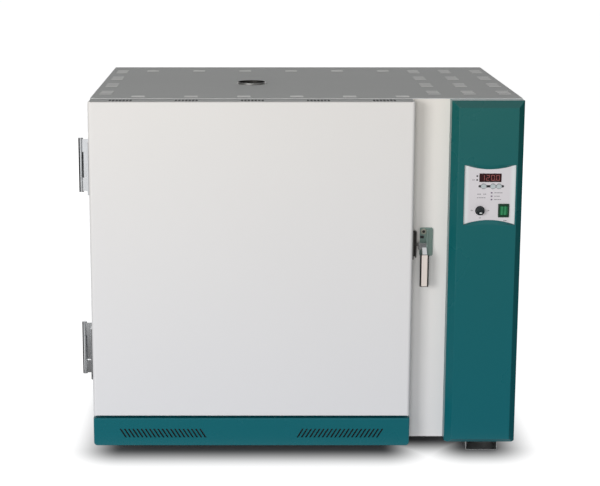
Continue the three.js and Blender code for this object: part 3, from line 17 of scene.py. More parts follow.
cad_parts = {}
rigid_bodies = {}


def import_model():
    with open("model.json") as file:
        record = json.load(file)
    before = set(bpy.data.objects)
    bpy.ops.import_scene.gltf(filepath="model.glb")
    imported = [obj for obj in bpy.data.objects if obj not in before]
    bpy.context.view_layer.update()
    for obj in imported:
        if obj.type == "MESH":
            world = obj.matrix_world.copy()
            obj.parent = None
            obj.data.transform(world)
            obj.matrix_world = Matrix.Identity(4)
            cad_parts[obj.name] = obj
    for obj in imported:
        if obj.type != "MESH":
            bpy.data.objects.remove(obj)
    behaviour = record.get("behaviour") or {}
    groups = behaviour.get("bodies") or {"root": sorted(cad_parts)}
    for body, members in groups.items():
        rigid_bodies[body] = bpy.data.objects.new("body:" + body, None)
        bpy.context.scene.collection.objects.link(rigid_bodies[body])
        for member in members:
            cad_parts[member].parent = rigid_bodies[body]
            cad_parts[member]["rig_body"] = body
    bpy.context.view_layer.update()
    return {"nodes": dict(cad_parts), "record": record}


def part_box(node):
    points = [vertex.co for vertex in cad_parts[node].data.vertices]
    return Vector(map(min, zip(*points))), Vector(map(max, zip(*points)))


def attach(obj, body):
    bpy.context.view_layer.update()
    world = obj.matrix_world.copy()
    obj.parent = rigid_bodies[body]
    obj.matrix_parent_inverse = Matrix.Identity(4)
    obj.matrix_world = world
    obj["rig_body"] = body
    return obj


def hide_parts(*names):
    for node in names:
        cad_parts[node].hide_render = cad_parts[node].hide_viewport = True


bl_info = {
    "name": "Laboratory Oven",
    "version": (1, 0, 0),
    "blender": (4, 5, 0),
    "location": "View3D > Sidebar > Oven",
    "description": "Dresses the solids of a bench-top drying oven and sets its studio",
    "category": "Object",
}

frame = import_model()

DOOR_LOW, DOOR_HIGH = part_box("door_outer_skin")
PLATE_LOW, PLATE_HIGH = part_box("control_plate")
SIDE_SHEET = 0.0015  # thickness of the casing's sheets
SHEET_ROUNDING = SIDE_SHEET / 4
HINGE_LEAF = 0.0033  # from the side sheet to the outside of a hinge's leaf
SCREW_SEAT = 0.0002  # how deep a head is set into its sheet
FRONT_CORNER = 0.0085  # reach of a front's outline from its box
MERGE_DISTANCE = 2e-5
SKIN = 0.0001  # how near to a surface a face counts as lying in it

VENT_GROUP_SHARES = (0.0986, 0.3007, 0.5027, 0.7048, 0.9068)
VENT_COUNT = 7
VENT_PITCH = 0.0077
VENT_SETBACK = 0.0225
# Depth of the black block under the door's vent slots, which is painted shade.
VENT_SHADE_BLOCK_DEPTH = 0.0017
STAY_SHARE = 0.17  # how far a shelf's stays lie from its middle, of its depth

INLET_BLADES = ((-0.0085, -0.004), (0.0085, -0.004), (0.0, 0.004))
BLADE_HALF_WIDTH, BLADE_HALF_HEIGHT = 0.0031, 0.0011
BLADE_DEPTH = 0.0058

LEAF_SCREW_INSET = 0.016
LEAF_SCREWS = (0.12, 0.5, 0.88)
BACK_SCREWS = (
    *((across, up) for across in (0.02, 0.26, 0.5, 0.74, 0.98) for up in (0.02, 0.98)),
    *((across, up) for up in (0.26, 0.5, 0.74) for across in (0.02, 0.98)),
)
SIDE_SCREWS = tuple((along, up) for along in (0.06, 0.5, 0.94) for up in (0.08, 0.92))

LATCH_PLATE = 0.004
RING_INSET = 0.008
RING_DEPTH = 0.005  # how far the ring and the dimple stand out from the latch's plate
RING_PROFILE = (  # radius and depth, as for the dimple
    (0.0034, 0.0002), (0.0034, -0.0004), (0.0042, -0.0014), (0.0056, -0.0014),
    (0.0066, -0.0006), (0.0068, 0.0004), (0.0068, 0.0020), (0.0050, 0.0020),
)
DIMPLE_PROFILE = (
    (0.0, -0.0003), (0.0020, -0.0003), (0.0032, -0.0001), (0.0032, 0.0006), (0.0, 0.0006),
)
BUFFER_LOW = (0.0002, -0.0050, -0.0160)  # from the plate's left edge and the ring's middle
BUFFER_HIGH = (0.0088, 0.0002, -0.0100)
PADDLE_RIM = 0.0013
PADDLE_FACE = 0.0003  # thickness of the bright face

# Printed marks on the control plate, as (x, z) places, and as height and (left, right) words
CONTROL_DOTS = ((0.3981, 0.6590), (0.3981, 0.6502))
DOT_HALF_SIZE, DOT_ROUNDING = (0.0021, 0.0019), 0.0018
CONTROL_LAMPS = (0.6207, 0.6129, 0.6052)
LAMP_LEFT, LAMP_RIGHT = 0.4296, 0.4334
LAMP_HALF_HEIGHT, LAMP_ROUNDING = 0.0015, 0.0006
WORD_ROUNDING = 0.3  # of a word's height or a segment's width
LEGENDS = (
    (0.6502, 0.0016, ((0.3868, 0.3892), (0.3898, 0.3925))),
    (0.6176, 0.0016, ((0.3990, 0.4026), (0.4034, 0.4075), (0.4125, 0.4150), (0.4156, 0.4190))),
    (0.6093, 0.0015, ((0.3985, 0.4020), (0.4028, 0.4076), (0.4084, 0.4128), (0.4136, 0.4180))),
    (0.6207, 0.0014, ((0.4374, 0.4428), (0.4436, 0.4500), (0.4508, 0.4560))),
    (0.6129, 0.0014, ((0.4374, 0.4416), (0.4424, 0.4500))),
    (0.6052, 0.0014, ((0.4374, 0.4440), (0.4448, 0.4490), (0.4498, 0.4530))),
    (0.5566, 0.0018, ((0.4598, 0.4630), (0.4638, 0.4670))),
)
KEY_BAND = (0.4012, 0.4590, 0.6329, 0.6383)
KEY_BAND_ROUNDING = 0.0026
KEY_FLATNESS = 0.86
KEY_GAP, KEY_RIM = 0.0001, 0.0005
KEY_HOLE_DEPTH = 0.004
DIAL_RADIUS = 0.0134
DIAL_MARK_LENGTH, DIAL_MARK_WIDTH = 0.0020, 0.0004
DIAL_FIGURE_HEIGHT = 0.0026
DIAL_FIGURES = (("100", 0.0185, 0.0), ("150", 0.0, -0.0172), ("200", -0.0185, 0.0))
KNOB_GRIP = ((0.66, 0.0), (0.74, 0.0004), (0.79, 0.0014))  # share of its radius, depth
KNOB_SKIRT = (  # share of its radius, height over the plate
    (0.83, 0.0034), (0.96, 0.0027), (1.0, 0.0019), (1.0, 0.0008), (0.97, 0.0003),
)
KNOB_SHAFT = 0.0030
KNOB_FLUTES, FLUTE_DEPTH = 16, 0.035
KNOB_MARK = (-0.0030, 0.0030, -0.0043, -0.0017)
KNOB_MARK_ROUNDING = 0.0012
DIGIT_HEIGHT = 0.66  # of the window's height
DIGIT_WIDTH, DIGIT_BAR = 0.62, 0.1  # of a digit's height
DIGIT_PITCH = 1.45  # of a digit's width
DIGIT_DEPTH = 0.0001
SEGMENTS = {"0": "abcdef", "1": "bc", "2": "abged"}

WHITE = (1.0, 1.0, 1.0, 1.0)
STREAKS_UP = (1.0, 1.0, 0.03)
STREAKS_ACROSS = (0.03, 1.0, 1.0)
# Painted light: between these heights the coat drifts from a low tone that stands for the floor's
# cool bounce and, on the teal, a bluer reflection.
PAINTED_LIGHT_RISE = (0.05, 0.82)  # heights between which the coat drifts to its high tone

FLOOR_REACH = 30.0
SHADOW_SIDE_INSET, SHADOW_END_INSET = 0.06, 0.055
WORLD_BASE = 0.75  # the world's light straight ahead, and its change along each axis
WORLD_LEFT, WORLD_FRONT, WORLD_HEIGHT = -0.45, -0.1, -0.5
LAMPS = (  # name, power, place, target, size, shows in gloss
    ("Key", "key_power", (-2.3, -4.5, 1.5), (0.0, 0.0, 0.45), (1.6, 1.4), True),
    ("Fill", "fill_power", (-0.5, -6.4, 1.5), (0.1, 0.0, 0.5), (1.6, 1.2), False),
    ("Back", "back_power", (-2.7, 3.6, 0.95), (0.0, 0.0, 0.5), (1.6, 1.2), True),
    ("Back", "back_power", (2.7, 3.6, 0.95), (0.0, 0.0, 0.5), (1.6, 1.2), True),
)
DARK_BOARD = 0.02
BOARDS = (  # name, low corner, high corner
    ("left_board", (-1.3, -1.3, 0.002), (-1.3, 1.8, 1.4)),
    ("left_floor_board", (-1.3, -0.7, 0.002), (-0.66, 1.8, 0.002)),
    ("right_board", (1.35, -0.7, 0.002), (1.35, 2.5, 1.8)),
    ("right_floor_board", (0.56, -0.45, 0.002), (1.35, 2.5, 0.002)),
    ("floor_board", (-0.62, -5.0, 0.002), (2.2, -0.45, 0.002)),
)

groups = {}  # both filled by the finishes' operator
finishes = {}


# Sizes and colours that a user may change


def length(name, description, default):
    return FloatProperty(
        name=name, description=description, default=default, min=0.0,
        subtype="DISTANCE", unit="LENGTH",
    )


def colour(name, description, default):
    return FloatVectorProperty(
        name=name, description=description, default=default, size=3, min=0.0, max=1.0,
        subtype="COLOR",
    )


def number(name, description, default, **settings):
    return FloatProperty(name=name, description=description, default=default, **settings)


share = partial(number, min=0.0, soft_max=1.0)


class OvenStage(bpy.types.PropertyGroup):
    """The camera, the floor and the lamps."""

    camera_distance: length("Camera distance", "From the body's front to the camera", 3.40)
    camera_height: length("Camera height", "Height of the camera above the floor", 1.262)
    camera_tilt: number(
        "Camera tilt", "How far the camera looks down", math.radians(10.9), subtype="ANGLE"
    )
    camera_side: length("Camera side", "From the middle to the camera at its left", 0.1062)
    focal_length: number("Focal length", "In millimetres", 90.85)
    sideways_shift: number("Sideways shift", "Lens shift of the photograph's frame", 0.0777)
    upward_shift: number("Upward shift", "Lens shift of the photograph's frame", -0.08)
    floor_colour: colour("Floor", "Colour of the floor", (0.17, 0.172, 0.178))
    key_power: number("Key power", "Power of the front left lamp", 99.0)
    fill_power: number("Fill power", "Power of the lamp in front", 114.0)
    back_power: number("Back power", "Power of each lamp behind", 75.0)
    sky_level: share("Sky level", "Even light from all round", 0.38)
    floor_gloss: share("Floor gloss", "Brightness of the floor in front that gloss shows", 0.2)
    floor_bounce: share("Floor bounce", "Light that the floor throws back on the oven", 0.42)
    floor_fade: length("Floor fade", "Width of the soft shadow round the oven's foot", 0.14)


class OvenPaint(bpy.types.PropertyGroup):
    """Colours of the painted and plated surfaces."""

    ivory: colour("Ivory", "Door and sides, high up", (0.72, 0.70, 0.675))
    # Painted light: cool ivory is the floor's cool bounce painted into the ivory low down.
    ivory_painted_bounce: colour("Cool ivory", "The same low down", (0.70, 0.705, 0.73))
    # Painted light: the frame is the door's ivory painted brighter, to make up for the shade in the
    # recess between door and column.
    frame: colour("Frame", "Front frame beside the door, high up", (0.815, 0.775, 0.72))
    frame_painted_bounce: colour("Cool frame", "The same low down", (0.77, 0.765, 0.775))
    top: colour("Top", "Top panel", (0.69, 0.70, 0.69))
    # Painted highlight: the louvres' lips are the top's paint made brighter and glossier where they
    # catch the light.
    louvre: colour("Louvre", "Lips of the top panel's louvres", (0.90, 0.90, 0.88))
    teal: colour("Teal", "Control column, high up", (0.007, 0.108, 0.102))
    # Painted reflection: deep teal is the column and plinth painted bluer low down, where they
    # mirror the floor.
    teal_painted_reflection: colour("Deep teal", "Control column and plinth, low down", (0.003, 0.120, 0.148))
    silver: colour("Silver", "Control plate", (0.66, 0.63, 0.65))
    plate_rim: colour("Plate rim", "Left and right edge of the plate", (0.74, 0.76, 0.76))
    steel: colour("Steel", "Chamber and shelves", (0.55, 0.55, 0.545))
    zinc: colour("Zinc", "Back, bottom and feet", (0.46, 0.47, 0.475))
    chrome: colour("Chrome", "Hinges and screws", (0.56, 0.57, 0.58))
    satin: colour("Satin", "Face of the latch's paddle", (0.86, 0.77, 0.71))
    latch: colour("Latch", "Base of the latch", (0.30, 0.41, 0.37))


class OvenSizes(bpy.types.PropertyGroup):
    """Sizes of the fine work."""

    sheet_edge: length("Sheet edge", "Rounding of folded sheet edges", 0.0012)
    rolled_edge: length("Rolled edge", "Rounding of the door's and the plinth's front", 0.003)
    fitting_edge: length("Fitting edge", "Rounding of the small fittings' edges", 0.0006)
    vent_width: length("Vent width", "Width of the slots in the door's top edge", 0.0046)
    vent_length: length("Vent length", "Length of the slots in the door's top edge", 0.026)
    shelf_wire: length("Shelf wire", "Radius of the shelves' cross wires", 0.00125)
    shelf_rod: length("Shelf rod", "Radius of the shelves' outer rod", 0.003)
    shelf_pitch: length("Shelf pitch", "Distance between the cross wires", 0.02)
    screw_head: length("Screw head", "Radius of the casing screws' heads", 0.0038)
    screw_rise: length("Screw rise", "Height of the casing screws' heads", 0.0016)
    print_thickness: length("Print thickness", "Thickness of the printed marks", 0.00012)
    dial_marks: IntProperty(
        name="Dial marks", description="Marks round the limiter", default=11, min=2
    )


# Meshes


def between(low, high, part):
    return low + (high - low) * part


def link(thing):
    bpy.context.scene.collection.objects.link(thing)
    return thing


def remove(*pieces):
    for piece in pieces:
        mesh = piece.data
        bpy.data.objects.remove(piece)
        bpy.data.meshes.remove(mesh)


@contextmanager
def edited(mesh):
    """A working copy of a mesh that is written back at the end."""
    work = bmesh.new()
    work.from_mesh(mesh)
    yield work
    work.to_mesh(mesh)
    work.free()


def body_of(node):
    return frame["nodes"][node]["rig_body"]


def slot_of(node):
    for part in frame["record"]["subparts"]:
        if part["node"] == node:
            return part["material_slot"]
    raise ValueError("no sub-part named " + node)


def finish_piece(piece, finish, body="root"):
    """Gives a new piece its finish, and lets it move with its body."""
    piece.data.materials.clear()
    piece.data.materials.append(finishes[finish])
    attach(piece, body)
    return piece


def stand_for(piece, node, finish):
    """Finishes a piece that is seen in place of a solid."""
    finish_piece(piece, finish, body_of(node))
    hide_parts(node)
    return piece


def evaluated_mesh(thing):
    depsgraph = bpy.context.evaluated_depsgraph_get()
    return bpy.data.meshes.new_from_object(thing.evaluated_get(depsgraph), depsgraph=depsgraph)


def plain_mesh(piece):
    """Turns a piece and its modifiers into one plain mesh."""
    mesh = evaluated_mesh(piece)
    piece.modifiers.clear()
    old = piece.data
    piece.data = mesh
    bpy.data.meshes.remove(old)
    mesh.name = piece.name
    return piece


def modify(piece, name, kind, **settings):
    modifier = piece.modifiers.new(name, kind)
    for label, value in settings.items():
        setattr(modifier, label, value)
    return modifier


def smoothed(piece, angle=35.0):
    """Smooth shading with sharp edges above an angle in degrees."""
    piece.data.shade_smooth()
    piece.data.set_sharp_from_angle(angle=math.radians(angle))
    return piece


def merged_copy(node):
    """A copy of a solid whose double corners are merged."""
    mesh = frame["nodes"][node].data.copy()
    with edited(mesh) as work:
        bmesh.ops.remove_doubles(work, verts=work.verts, dist=MERGE_DISTANCE)
    return link(bpy.data.objects.new(node + "_dressed", mesh))


def mark_front_outline(work, node, sharp_angle):
    """Weighs the sharp edges along the outline of a solid's front, which are rolled."""
    low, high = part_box(node)
    weights = work.edges.layers.float.new("bevel_weight_edge")
    for edge in work.edges:
        middle = (edge.verts[0].co + edge.verts[1].co) / 2
        inset = min(middle.x - low.x, high.x - middle.x, middle.z - low.z, high.z - middle.z)
        if middle.y < low.y + SKIN and inset < FRONT_CORNER:
            if edge.is_manifold and edge.calc_face_angle() > math.radians(sharp_angle):
                edge[weights] = 1.0


def softened(node, finish, width, segments=2, sharp_angle=35.0, rolled=None, cutter=None):
    """A copy of a solid with merged corners and rounded edges, standing for that solid.

    Where a rolled width is given, the outline of its front is rounded that much.
    """
    piece = merged_copy(node)
    if cutter:
        cut_by(piece, cutter)
    with edited(piece.data) as work:
        bmesh.ops.dissolve_limit(
            work, angle_limit=math.radians(0.5), verts=work.verts, edges=work.edges,
            delimit={"NORMAL"},
        )
        if rolled:
            mark_front_outline(work, node, sharp_angle)
    if rolled:
        modify(
            piece, "Rolled outline", "BEVEL", width=rolled, segments=4, limit_method="WEIGHT",
            use_clamp_overlap=False,
        )
    modify(
        piece, "Edges", "BEVEL", width=width, segments=segments, limit_method="ANGLE",
        angle_limit=math.radians(sharp_angle), use_clamp_overlap=True,
    )
    smoothed(plain_mesh(piece), sharp_angle)
    modify(piece, "Flat faces", "WEIGHTED_NORMAL", keep_sharp=True, weight=80)
    return stand_for(plain_mesh(piece), node, finish)


def rounded_smooth(node, finish, angle=40.0):
    """A copy of a turned or bent solid with smooth shading, standing for it."""
    return stand_for(smoothed(merged_copy(node), angle), node, finish)


def recoloured(piece, finish, chosen):
    """Gives the chosen faces of a piece a second finish."""
    piece.data.materials.append(finishes[finish])
    index = len(piece.data.materials) - 1
    for face in piece.data.polygons:
        if chosen(face):
            face.material_index = index
    return piece


def block(name, low, high, edge):
    """A block with rounded edges."""
    middle, span = (Vector(low) + Vector(high)) / 2, Vector(high) - Vector(low)
    mesh = bpy.data.meshes.new(name)
    with edited(mesh) as work:
        bmesh.ops.create_cube(work, size=1.0)
        for vertex in work.verts:
            vertex.co = Vector([middle[i] + vertex.co[i] * span[i] for i in range(3)])
        bmesh.ops.bevel(
            work, geom=work.edges[:], offset=edge, segments=2, affect="EDGES", profile=0.5
        )
    return smoothed(link(bpy.data.objects.new(name, mesh)), 50.0)


def outward(piece):
    """Turns all faces of a closed mesh outwards."""
    with edited(piece.data) as work:
        bmesh.ops.remove_doubles(work, verts=work.verts, dist=1e-7)
        bmesh.ops.recalc_face_normals(work, faces=work.faces)
    return piece


def lettered(text, x, z, height, front, thickness):
    """Figures printed on the front, made a mesh before they are placed."""
    curve = bpy.data.curves.new("figures", "FONT")
    curve.body = text
    curve.size = height * 1.4
    curve.align_x = "CENTER"
    curve.align_y = "CENTER"
    curve.extrude = thickness / 2
    thing = link(bpy.data.objects.new("figures", curve))
    mesh = evaluated_mesh(thing)
    bpy.data.objects.remove(thing)
    bpy.data.curves.remove(curve)
    upright = Matrix.Rotation(math.pi / 2, 4, "X")
    mesh.transform(Matrix.Translation((x, front - thickness / 2, z)) @ upright)
    return outward(link(bpy.data.objects.new("figures", mesh)))


def mesh_piece(name, vertices, faces):
    """A new piece from corner and face lists."""
    mesh = bpy.data.meshes.new(name)
    mesh.from_pydata([tuple(vertex) for vertex in vertices], [], faces)
    mesh.update()
    return link(bpy.data.objects.new(name, mesh))


def lathed(name, profile, centre, steps=48):
    """Turns a closed profile of (radius, y) about an axis along Y through (x, z)."""
    vertices, rings = [], []
    for radius, y in profile:
        count = steps if radius else 1
        rings.append(range(len(vertices), len(vertices) + count))
        for index in range(count):
            angle = 2.0 * math.pi * index / steps
            x, z = centre[0] + radius * math.cos(angle), centre[1] + radius * math.sin(angle)
            vertices.append((x, y, z))
    faces = []
    closed = profile[0][0] != 0.0 or profile[-1][0] != 0.0
    for index in range(len(rings) if closed else len(rings) - 1):
        faces += band_between(rings[index], rings[(index + 1) % len(rings)], steps)
    return smoothed(outward(mesh_piece(name, vertices, faces)))


def band_between(lower, upper, steps):
    """The faces between two rings, either of which may be a single point."""
    faces = []
    for here in range(steps):
        there = (here + 1) % steps
        corners = (
            lower[here % len(lower)], lower[there % len(lower)],
            upper[there % len(upper)], upper[here % len(upper)],
        )
        faces.append(tuple(dict.fromkeys(corners)))
    return faces


def around(x, z, half_width, half_height):
    """The places of a patch about its middle."""
    return x - half_width, x + half_width, z - half_height, z + half_height


def patch(name, places, radius, front, thickness):
    """A flat patch with round corners on the front; its places are left, right, low, high."""
    left, right, low, high = places
    corner_steps = 6
    outline = []
    for x, z, turn in ((right, high, 0), (left, high, 1), (left, low, 2), (right, low, 3)):
        middle_x = x - radius if x == right else x + radius
        middle_z = z - radius if z == high else z + radius
        for index in range(corner_steps + 1):
            angle = math.pi / 2 * (turn + index / corner_steps)
            outline.append(
                (middle_x + radius * math.cos(angle), middle_z + radius * math.sin(angle))
            )
    count = len(outline)
    vertices = [(x, front - thickness, z) for x, z in outline]
    vertices += [(x, front, z) for x, z in outline]
    faces = [tuple(range(count)), tuple(range(2 * count - 1, count - 1, -1))]
    faces += [(i, count + i, count + (i + 1) % count, (i + 1) % count) for i in range(count)]
    return outward(mesh_piece(name, vertices, faces))


def merged(name, pieces):
    """Joins pieces of one finish and body into one piece."""
    mesh = bpy.data.meshes.new(name)
    with edited(mesh) as work:
        for piece in pieces:
            work.from_mesh(piece.data)
    remove(*pieces)
    return link(bpy.data.objects.new(name, mesh))


def cut_by(piece, *cutters):
    """Cuts closed meshes out of a piece and removes them."""
    for cutter in cutters:
        modify(piece, "Cut", "BOOLEAN", operation="DIFFERENCE", solver="EXACT", object=cutter)
    plain_mesh(piece)
    remove(*cutters)
    return piece


# Node trees


def add(tree, kind, inputs=None, **settings):
    """Adds a node; each input, by name or number, takes a value, a socket or a node."""
    node = tree.nodes.new(kind)
    for label, value in settings.items():
        setattr(node, label, value)
    for label, source in (inputs or {}).items():
        if isinstance(source, bpy.types.Node):
            source = source.outputs[0]
        if isinstance(source, bpy.types.NodeSocket):
            tree.links.new(source, node.inputs[label])
        else:
            node.inputs[label].default_value = source
    return node


def calc(tree, operation, first, second=0.0, clamp=False):
    return add(
        tree, "ShaderNodeMath", {0: first, 1: second}, operation=operation, use_clamp=clamp
    ).outputs[0]


def arithmetic(tree):
    """Sum, difference and product of two values in a tree."""
    return [partial(calc, tree, operation) for operation in ("ADD", "SUBTRACT", "MULTIPLY")]


def vector(tree, x, y, z):
    return add(tree, "ShaderNodeCombineXYZ", {0: x, 1: y, 2: z})


def cube(tree, x, y, z):
    return add(tree, "GeometryNodeMeshCube", {"Size": vector(tree, x, y, z)})


def moved(tree, geometry, **how):
    return add(tree, "GeometryNodeTransform", {"Geometry": geometry, **how})


def aligned(tree, direction, axis):
    return add(tree, "FunctionNodeAlignRotationToVector", {"Vector": direction}, axis=axis)


def on_points(tree, points, instance, **how):
    inputs = {"Points": points, "Instance": instance, **how}
    return add(tree, "GeometryNodeInstanceOnPoints", inputs)


def node_group(name, kind, inputs, outputs):
    """A node group, what it takes and what it gives; rows are name, socket and default."""
    group = bpy.data.node_groups.new(name, kind)
    for in_out, rows in (("INPUT", inputs), ("OUTPUT", outputs)):
        for label, socket_kind, default in rows:
            socket = group.interface.new_socket(
                name=label, in_out=in_out, socket_type="NodeSocket" + socket_kind
            )
            if default is not None:
                socket.default_value = default
    take = group.nodes.new("NodeGroupInput").outputs
    return group, take, group.nodes.new("NodeGroupOutput").inputs


# Trees that grow what repeats


def new_tree(name, rows):
    """A geometry tree with named inputs, the last of which is its material."""
    geometry = ("Geometry", "Geometry", None)
    inputs = [geometry, *rows, ("Material", "Material", None)]
    return node_group(name, "GeometryNodeTree", inputs, [geometry])


def close_tree(tree, take, give, geometry):
    """Ends a tree in real meshes with their material."""
    solid = add(tree, "GeometryNodeRealizeInstances", {"Geometry": geometry})
    painted = add(
        tree, "GeometryNodeSetMaterial", {"Geometry": solid, "Material": take["Material"]}
    )
    tree.links.new(painted.outputs["Geometry"], give["Geometry"])
    return tree


def grown(name, tree, finish, values, points=()):
    """A piece made by a tree, with its inputs set, turned into a plain mesh."""
    values["Material"] = finishes[finish]
    mesh = bpy.data.meshes.new(name)
    if points:
        mesh.from_pydata([tuple(place) for place, facing in points], [], [])
        facings = mesh.attributes.new("facing", "FLOAT_VECTOR", "POINT")
        facings.data.foreach_set("vector", [value for _, facing in points for value in facing])
    piece = link(bpy.data.objects.new(name, mesh))
    maker = modify(piece, "Maker", "NODES", node_group=tree)
    for item in tree.interface.items_tree:
        if item.item_type == "SOCKET" and item.in_out == "INPUT" and item.name in values:
            maker[item.identifier] = values[item.name]
    return plain_mesh(piece)


def swept(tree, curve, radius, sides):
    """A round bar along a curve, with closed ends."""
    how = {"Radius": radius, "Resolution": sides}
    ring = add(tree, "GeometryNodeCurvePrimitiveCircle", how)
    how = {"Curve": curve, "Profile Curve": ring, "Fill Caps": True}
    return add(tree, "GeometryNodeCurveToMesh", how)


def shelf_tree():
    """A wire shelf: a rod with rounded corners, cross wires on it and two stays under them."""
    tree, take, give = new_tree("Wire Shelf", [
        ("Middle", "Vector", (0.0, 0.0, 0.0)),
        ("Width", "Float", 0.6),
        ("Depth", "Float", 0.4),
        ("Corner", "Float", 0.01),
        ("Rod Radius", "Float", 0.003),
        ("Wire Radius", "Float", 0.00125),
        ("Pitch", "Float", 0.02),
        ("Wire Drop", "Float", 0.0015),
    ])
    plus, minus, times = arithmetic(tree)
    wire_radius = take["Wire Radius"]
    width = minus(take["Width"], times(take["Rod Radius"], 2.0))
    depth = minus(take["Depth"], times(take["Rod Radius"], 2.0))
    outline = add(
        tree, "GeometryNodeCurvePrimitiveQuadrilateral", {"Width": width, "Height": depth}
    )
    rounded = add(
        tree, "GeometryNodeFilletCurve",
        {"Curve": outline, "Radius": take["Corner"], "Count": 5}, mode="POLY",
    )

    def wires(start, end, places):
        line = add(
            tree, "GeometryNodeCurvePrimitiveLine",
            {"Start": vector(tree, *start), "End": vector(tree, *end)},
        )
        return on_points(tree, places, swept(tree, line, wire_radius, 8))

    spans = calc(tree, "ROUND", calc(tree, "DIVIDE", width, take["Pitch"]))
    pitch = calc(tree, "DIVIDE", width, spans)
    drop = times(take["Wire Drop"], -1.0)
    bar_places = add(tree, "GeometryNodeMeshLine", {
        "Count": minus(spans, 1.0),
        "Start Location": vector(tree, plus(times(width, -0.5), pitch), 0.0, drop),
        "Offset": vector(tree, pitch, 0.0, 0.0),
    })
    under = times(plus(wire_radius, take["Wire Drop"]), -1.0)
    stay_places = add(tree, "GeometryNodeMeshLine", {
        "Count": 2,
        "Start Location": vector(tree, 0.0, times(depth, -STAY_SHARE), under),
        "Offset": vector(tree, 0.0, times(depth, 2 * STAY_SHARE), 0.0),
    })
    half_width, half_depth = times(width, 0.5), times(depth, 0.5)
    bars = wires((0.0, times(half_depth, -1.0), 0.0), (0.0, half_depth, 0.0), bar_places)
    stays = wires((times(half_width, -1.0), 0.0, 0.0), (half_width, 0.0, 0.0), stay_places)
    whole = add(tree, "GeometryNodeJoinGeometry")
    for part in (swept(tree, rounded, take["Rod Radius"], 12), bars, stays):
        tree.links.new(part.outputs[0], whole.inputs["Geometry"])
    return close_tree(tree, take, give, moved(tree, whole, Translation=take["Middle"]))


def screw_tree():
    """Pan-head screws with a cross recess, one on each point, facing as the point says."""
    tree, take, give = new_tree("Screws", [
        ("Head Radius", "Float", 0.0038),
        ("Head Height", "Float", 0.0018),
    ])
    times = arithmetic(tree)[2]
    radius, height = take["Head Radius"], take["Head Height"]
    head = add(tree, "GeometryNodeMeshCone", {
        "Radius Top": times(radius, 0.7), "Radius Bottom": radius, "Depth": height,
        "Vertices": 20,
    })
    long, thin, deep = times(radius, 1.05), times(radius, 0.22), times(height, 1.2)
    cross = add(tree, "GeometryNodeJoinGeometry")
    for size in ((long, thin, deep), (thin, long, deep)):
        lifted = moved(tree, cube(tree, *size), Translation=vector(tree, 0.0, 0.0, height))
        tree.links.new(lifted.outputs["Geometry"], cross.inputs["Geometry"])
    cut = add(
        tree, "GeometryNodeMeshBoolean", {"Mesh 1": head, "Mesh 2": cross},
        operation="DIFFERENCE",
    )
    facing = add(
        tree, "GeometryNodeInputNamedAttribute", {"Name": "facing"}, data_type="FLOAT_VECTOR"
    )
    turned = aligned(tree, facing.outputs["Attribute"], "Z")
    heads = on_points(tree, take["Geometry"], cut, Rotation=turned)
    return close_tree(tree, take, give, heads)


def screws(name, tree, sizes, points):
    """Smooth-shaded screws on the points."""
    values = {"Head Radius": sizes.screw_head, "Head Height": sizes.screw_rise}
    return smoothed(grown(name, tree, "chrome", values, points), 40.0)


def slot_tree():
    """Bars, one on each point, that cut the slots of a pierced edge."""
    tree, take, give = new_tree("Slot Cutters", [
        ("Width", "Float", 0.004),
        ("Length", "Float", 0.016),
        ("Depth", "Float", 0.006),
    ])
    bar = cube(tree, take["Width"], take["Length"], take["Depth"])
    return close_tree(tree, take, give, on_points(tree, take["Geometry"], bar))


def dial_tree():
    """Marks on an arc round a knob."""
    tree, take, give = new_tree("Dial Marks", [
        ("Middle", "Vector", (0.0, 0.0, 0.0)),
        ("Count", "Int", 11),
        ("Radius", "Float", 0.013),
        ("Start", "Float", math.radians(120.0)),
        ("Sweep", "Float", math.radians(300.0)),
        ("Mark Length", "Float", 0.002),
        ("Mark Width", "Float", 0.0005),
        ("Thickness", "Float", 0.0001),
    ])
    upright = (math.pi / 2, 0.0, 0.0)
    arc = add(tree, "GeometryNodeCurveArc", {
        "Resolution": take["Count"], "Radius": take["Radius"], "Start Angle": take["Start"],
        "Sweep Angle": take["Sweep"],
    }, mode="RADIUS")
    places = add(
        tree, "GeometryNodeCurveToPoints", {"Curve": arc, "Count": take["Count"]}, mode="COUNT"
    )
    mark = cube(tree, take["Mark Length"], take["Thickness"], take["Mark Width"])
    turned = aligned(tree, add(tree, "GeometryNodeInputPosition"), "X")
    marks = on_points(tree, places, moved(tree, mark, Rotation=upright), Rotation=turned)
    dial = moved(tree, marks, Translation=take["Middle"], Rotation=upright)
    return close_tree(tree, take, give, dial)


# Shader node groups that several materials share


def noise(tree, place, scale, detail):
    node = add(
        tree, "ShaderNodeTexNoise", {"Vector": place, "Scale": scale, "Detail": detail}
    )
    return node.outputs["Fac"]


def coat_marks(group, place, take):
    """Baked powder coat: a fine orange peel and soft stains."""
    peel = noise(group, place, take["Peel Scale"], 2.0)
    return peel, noise(group, place, take["Stain Scale"], 5.0)


def sheet_marks(group, place, take):
    """Rolled metal sheet: streaks along one axis under faint clouds."""
    plus, _, times = arithmetic(group)
    stretched = add(
        group, "ShaderNodeVectorMath", {0: place, 1: take["Stretch"]}, operation="MULTIPLY"
    )
    streak = noise(group, stretched, take["Streak Scale"], 3.0)
    return streak, plus(times(streak, 0.6), times(noise(group, place, 9.0, 4.0), 0.4))


def grain_marks(group, place, take):
    """Moulded plastic: a fine grain and a faint handling shine."""
    return noise(group, place, take["Grain Scale"], 3.0), noise(group, place, 60.0, 3.0)


SKINS = {
    "coat": (coat_marks, 0.1, [("Peel Scale", "Float", 420.0), ("Stain Scale", "Float", 4.0)]),
    "sheet": (
        sheet_marks, 0.15,
        [("Stretch", "Vector", (1.0, 1.0, 1.0)), ("Streak Scale", "Float", 600.0)],
    ),
    "grain": (grain_marks, 0.12, [("Grain Scale", "Float", 1800.0)]),
}


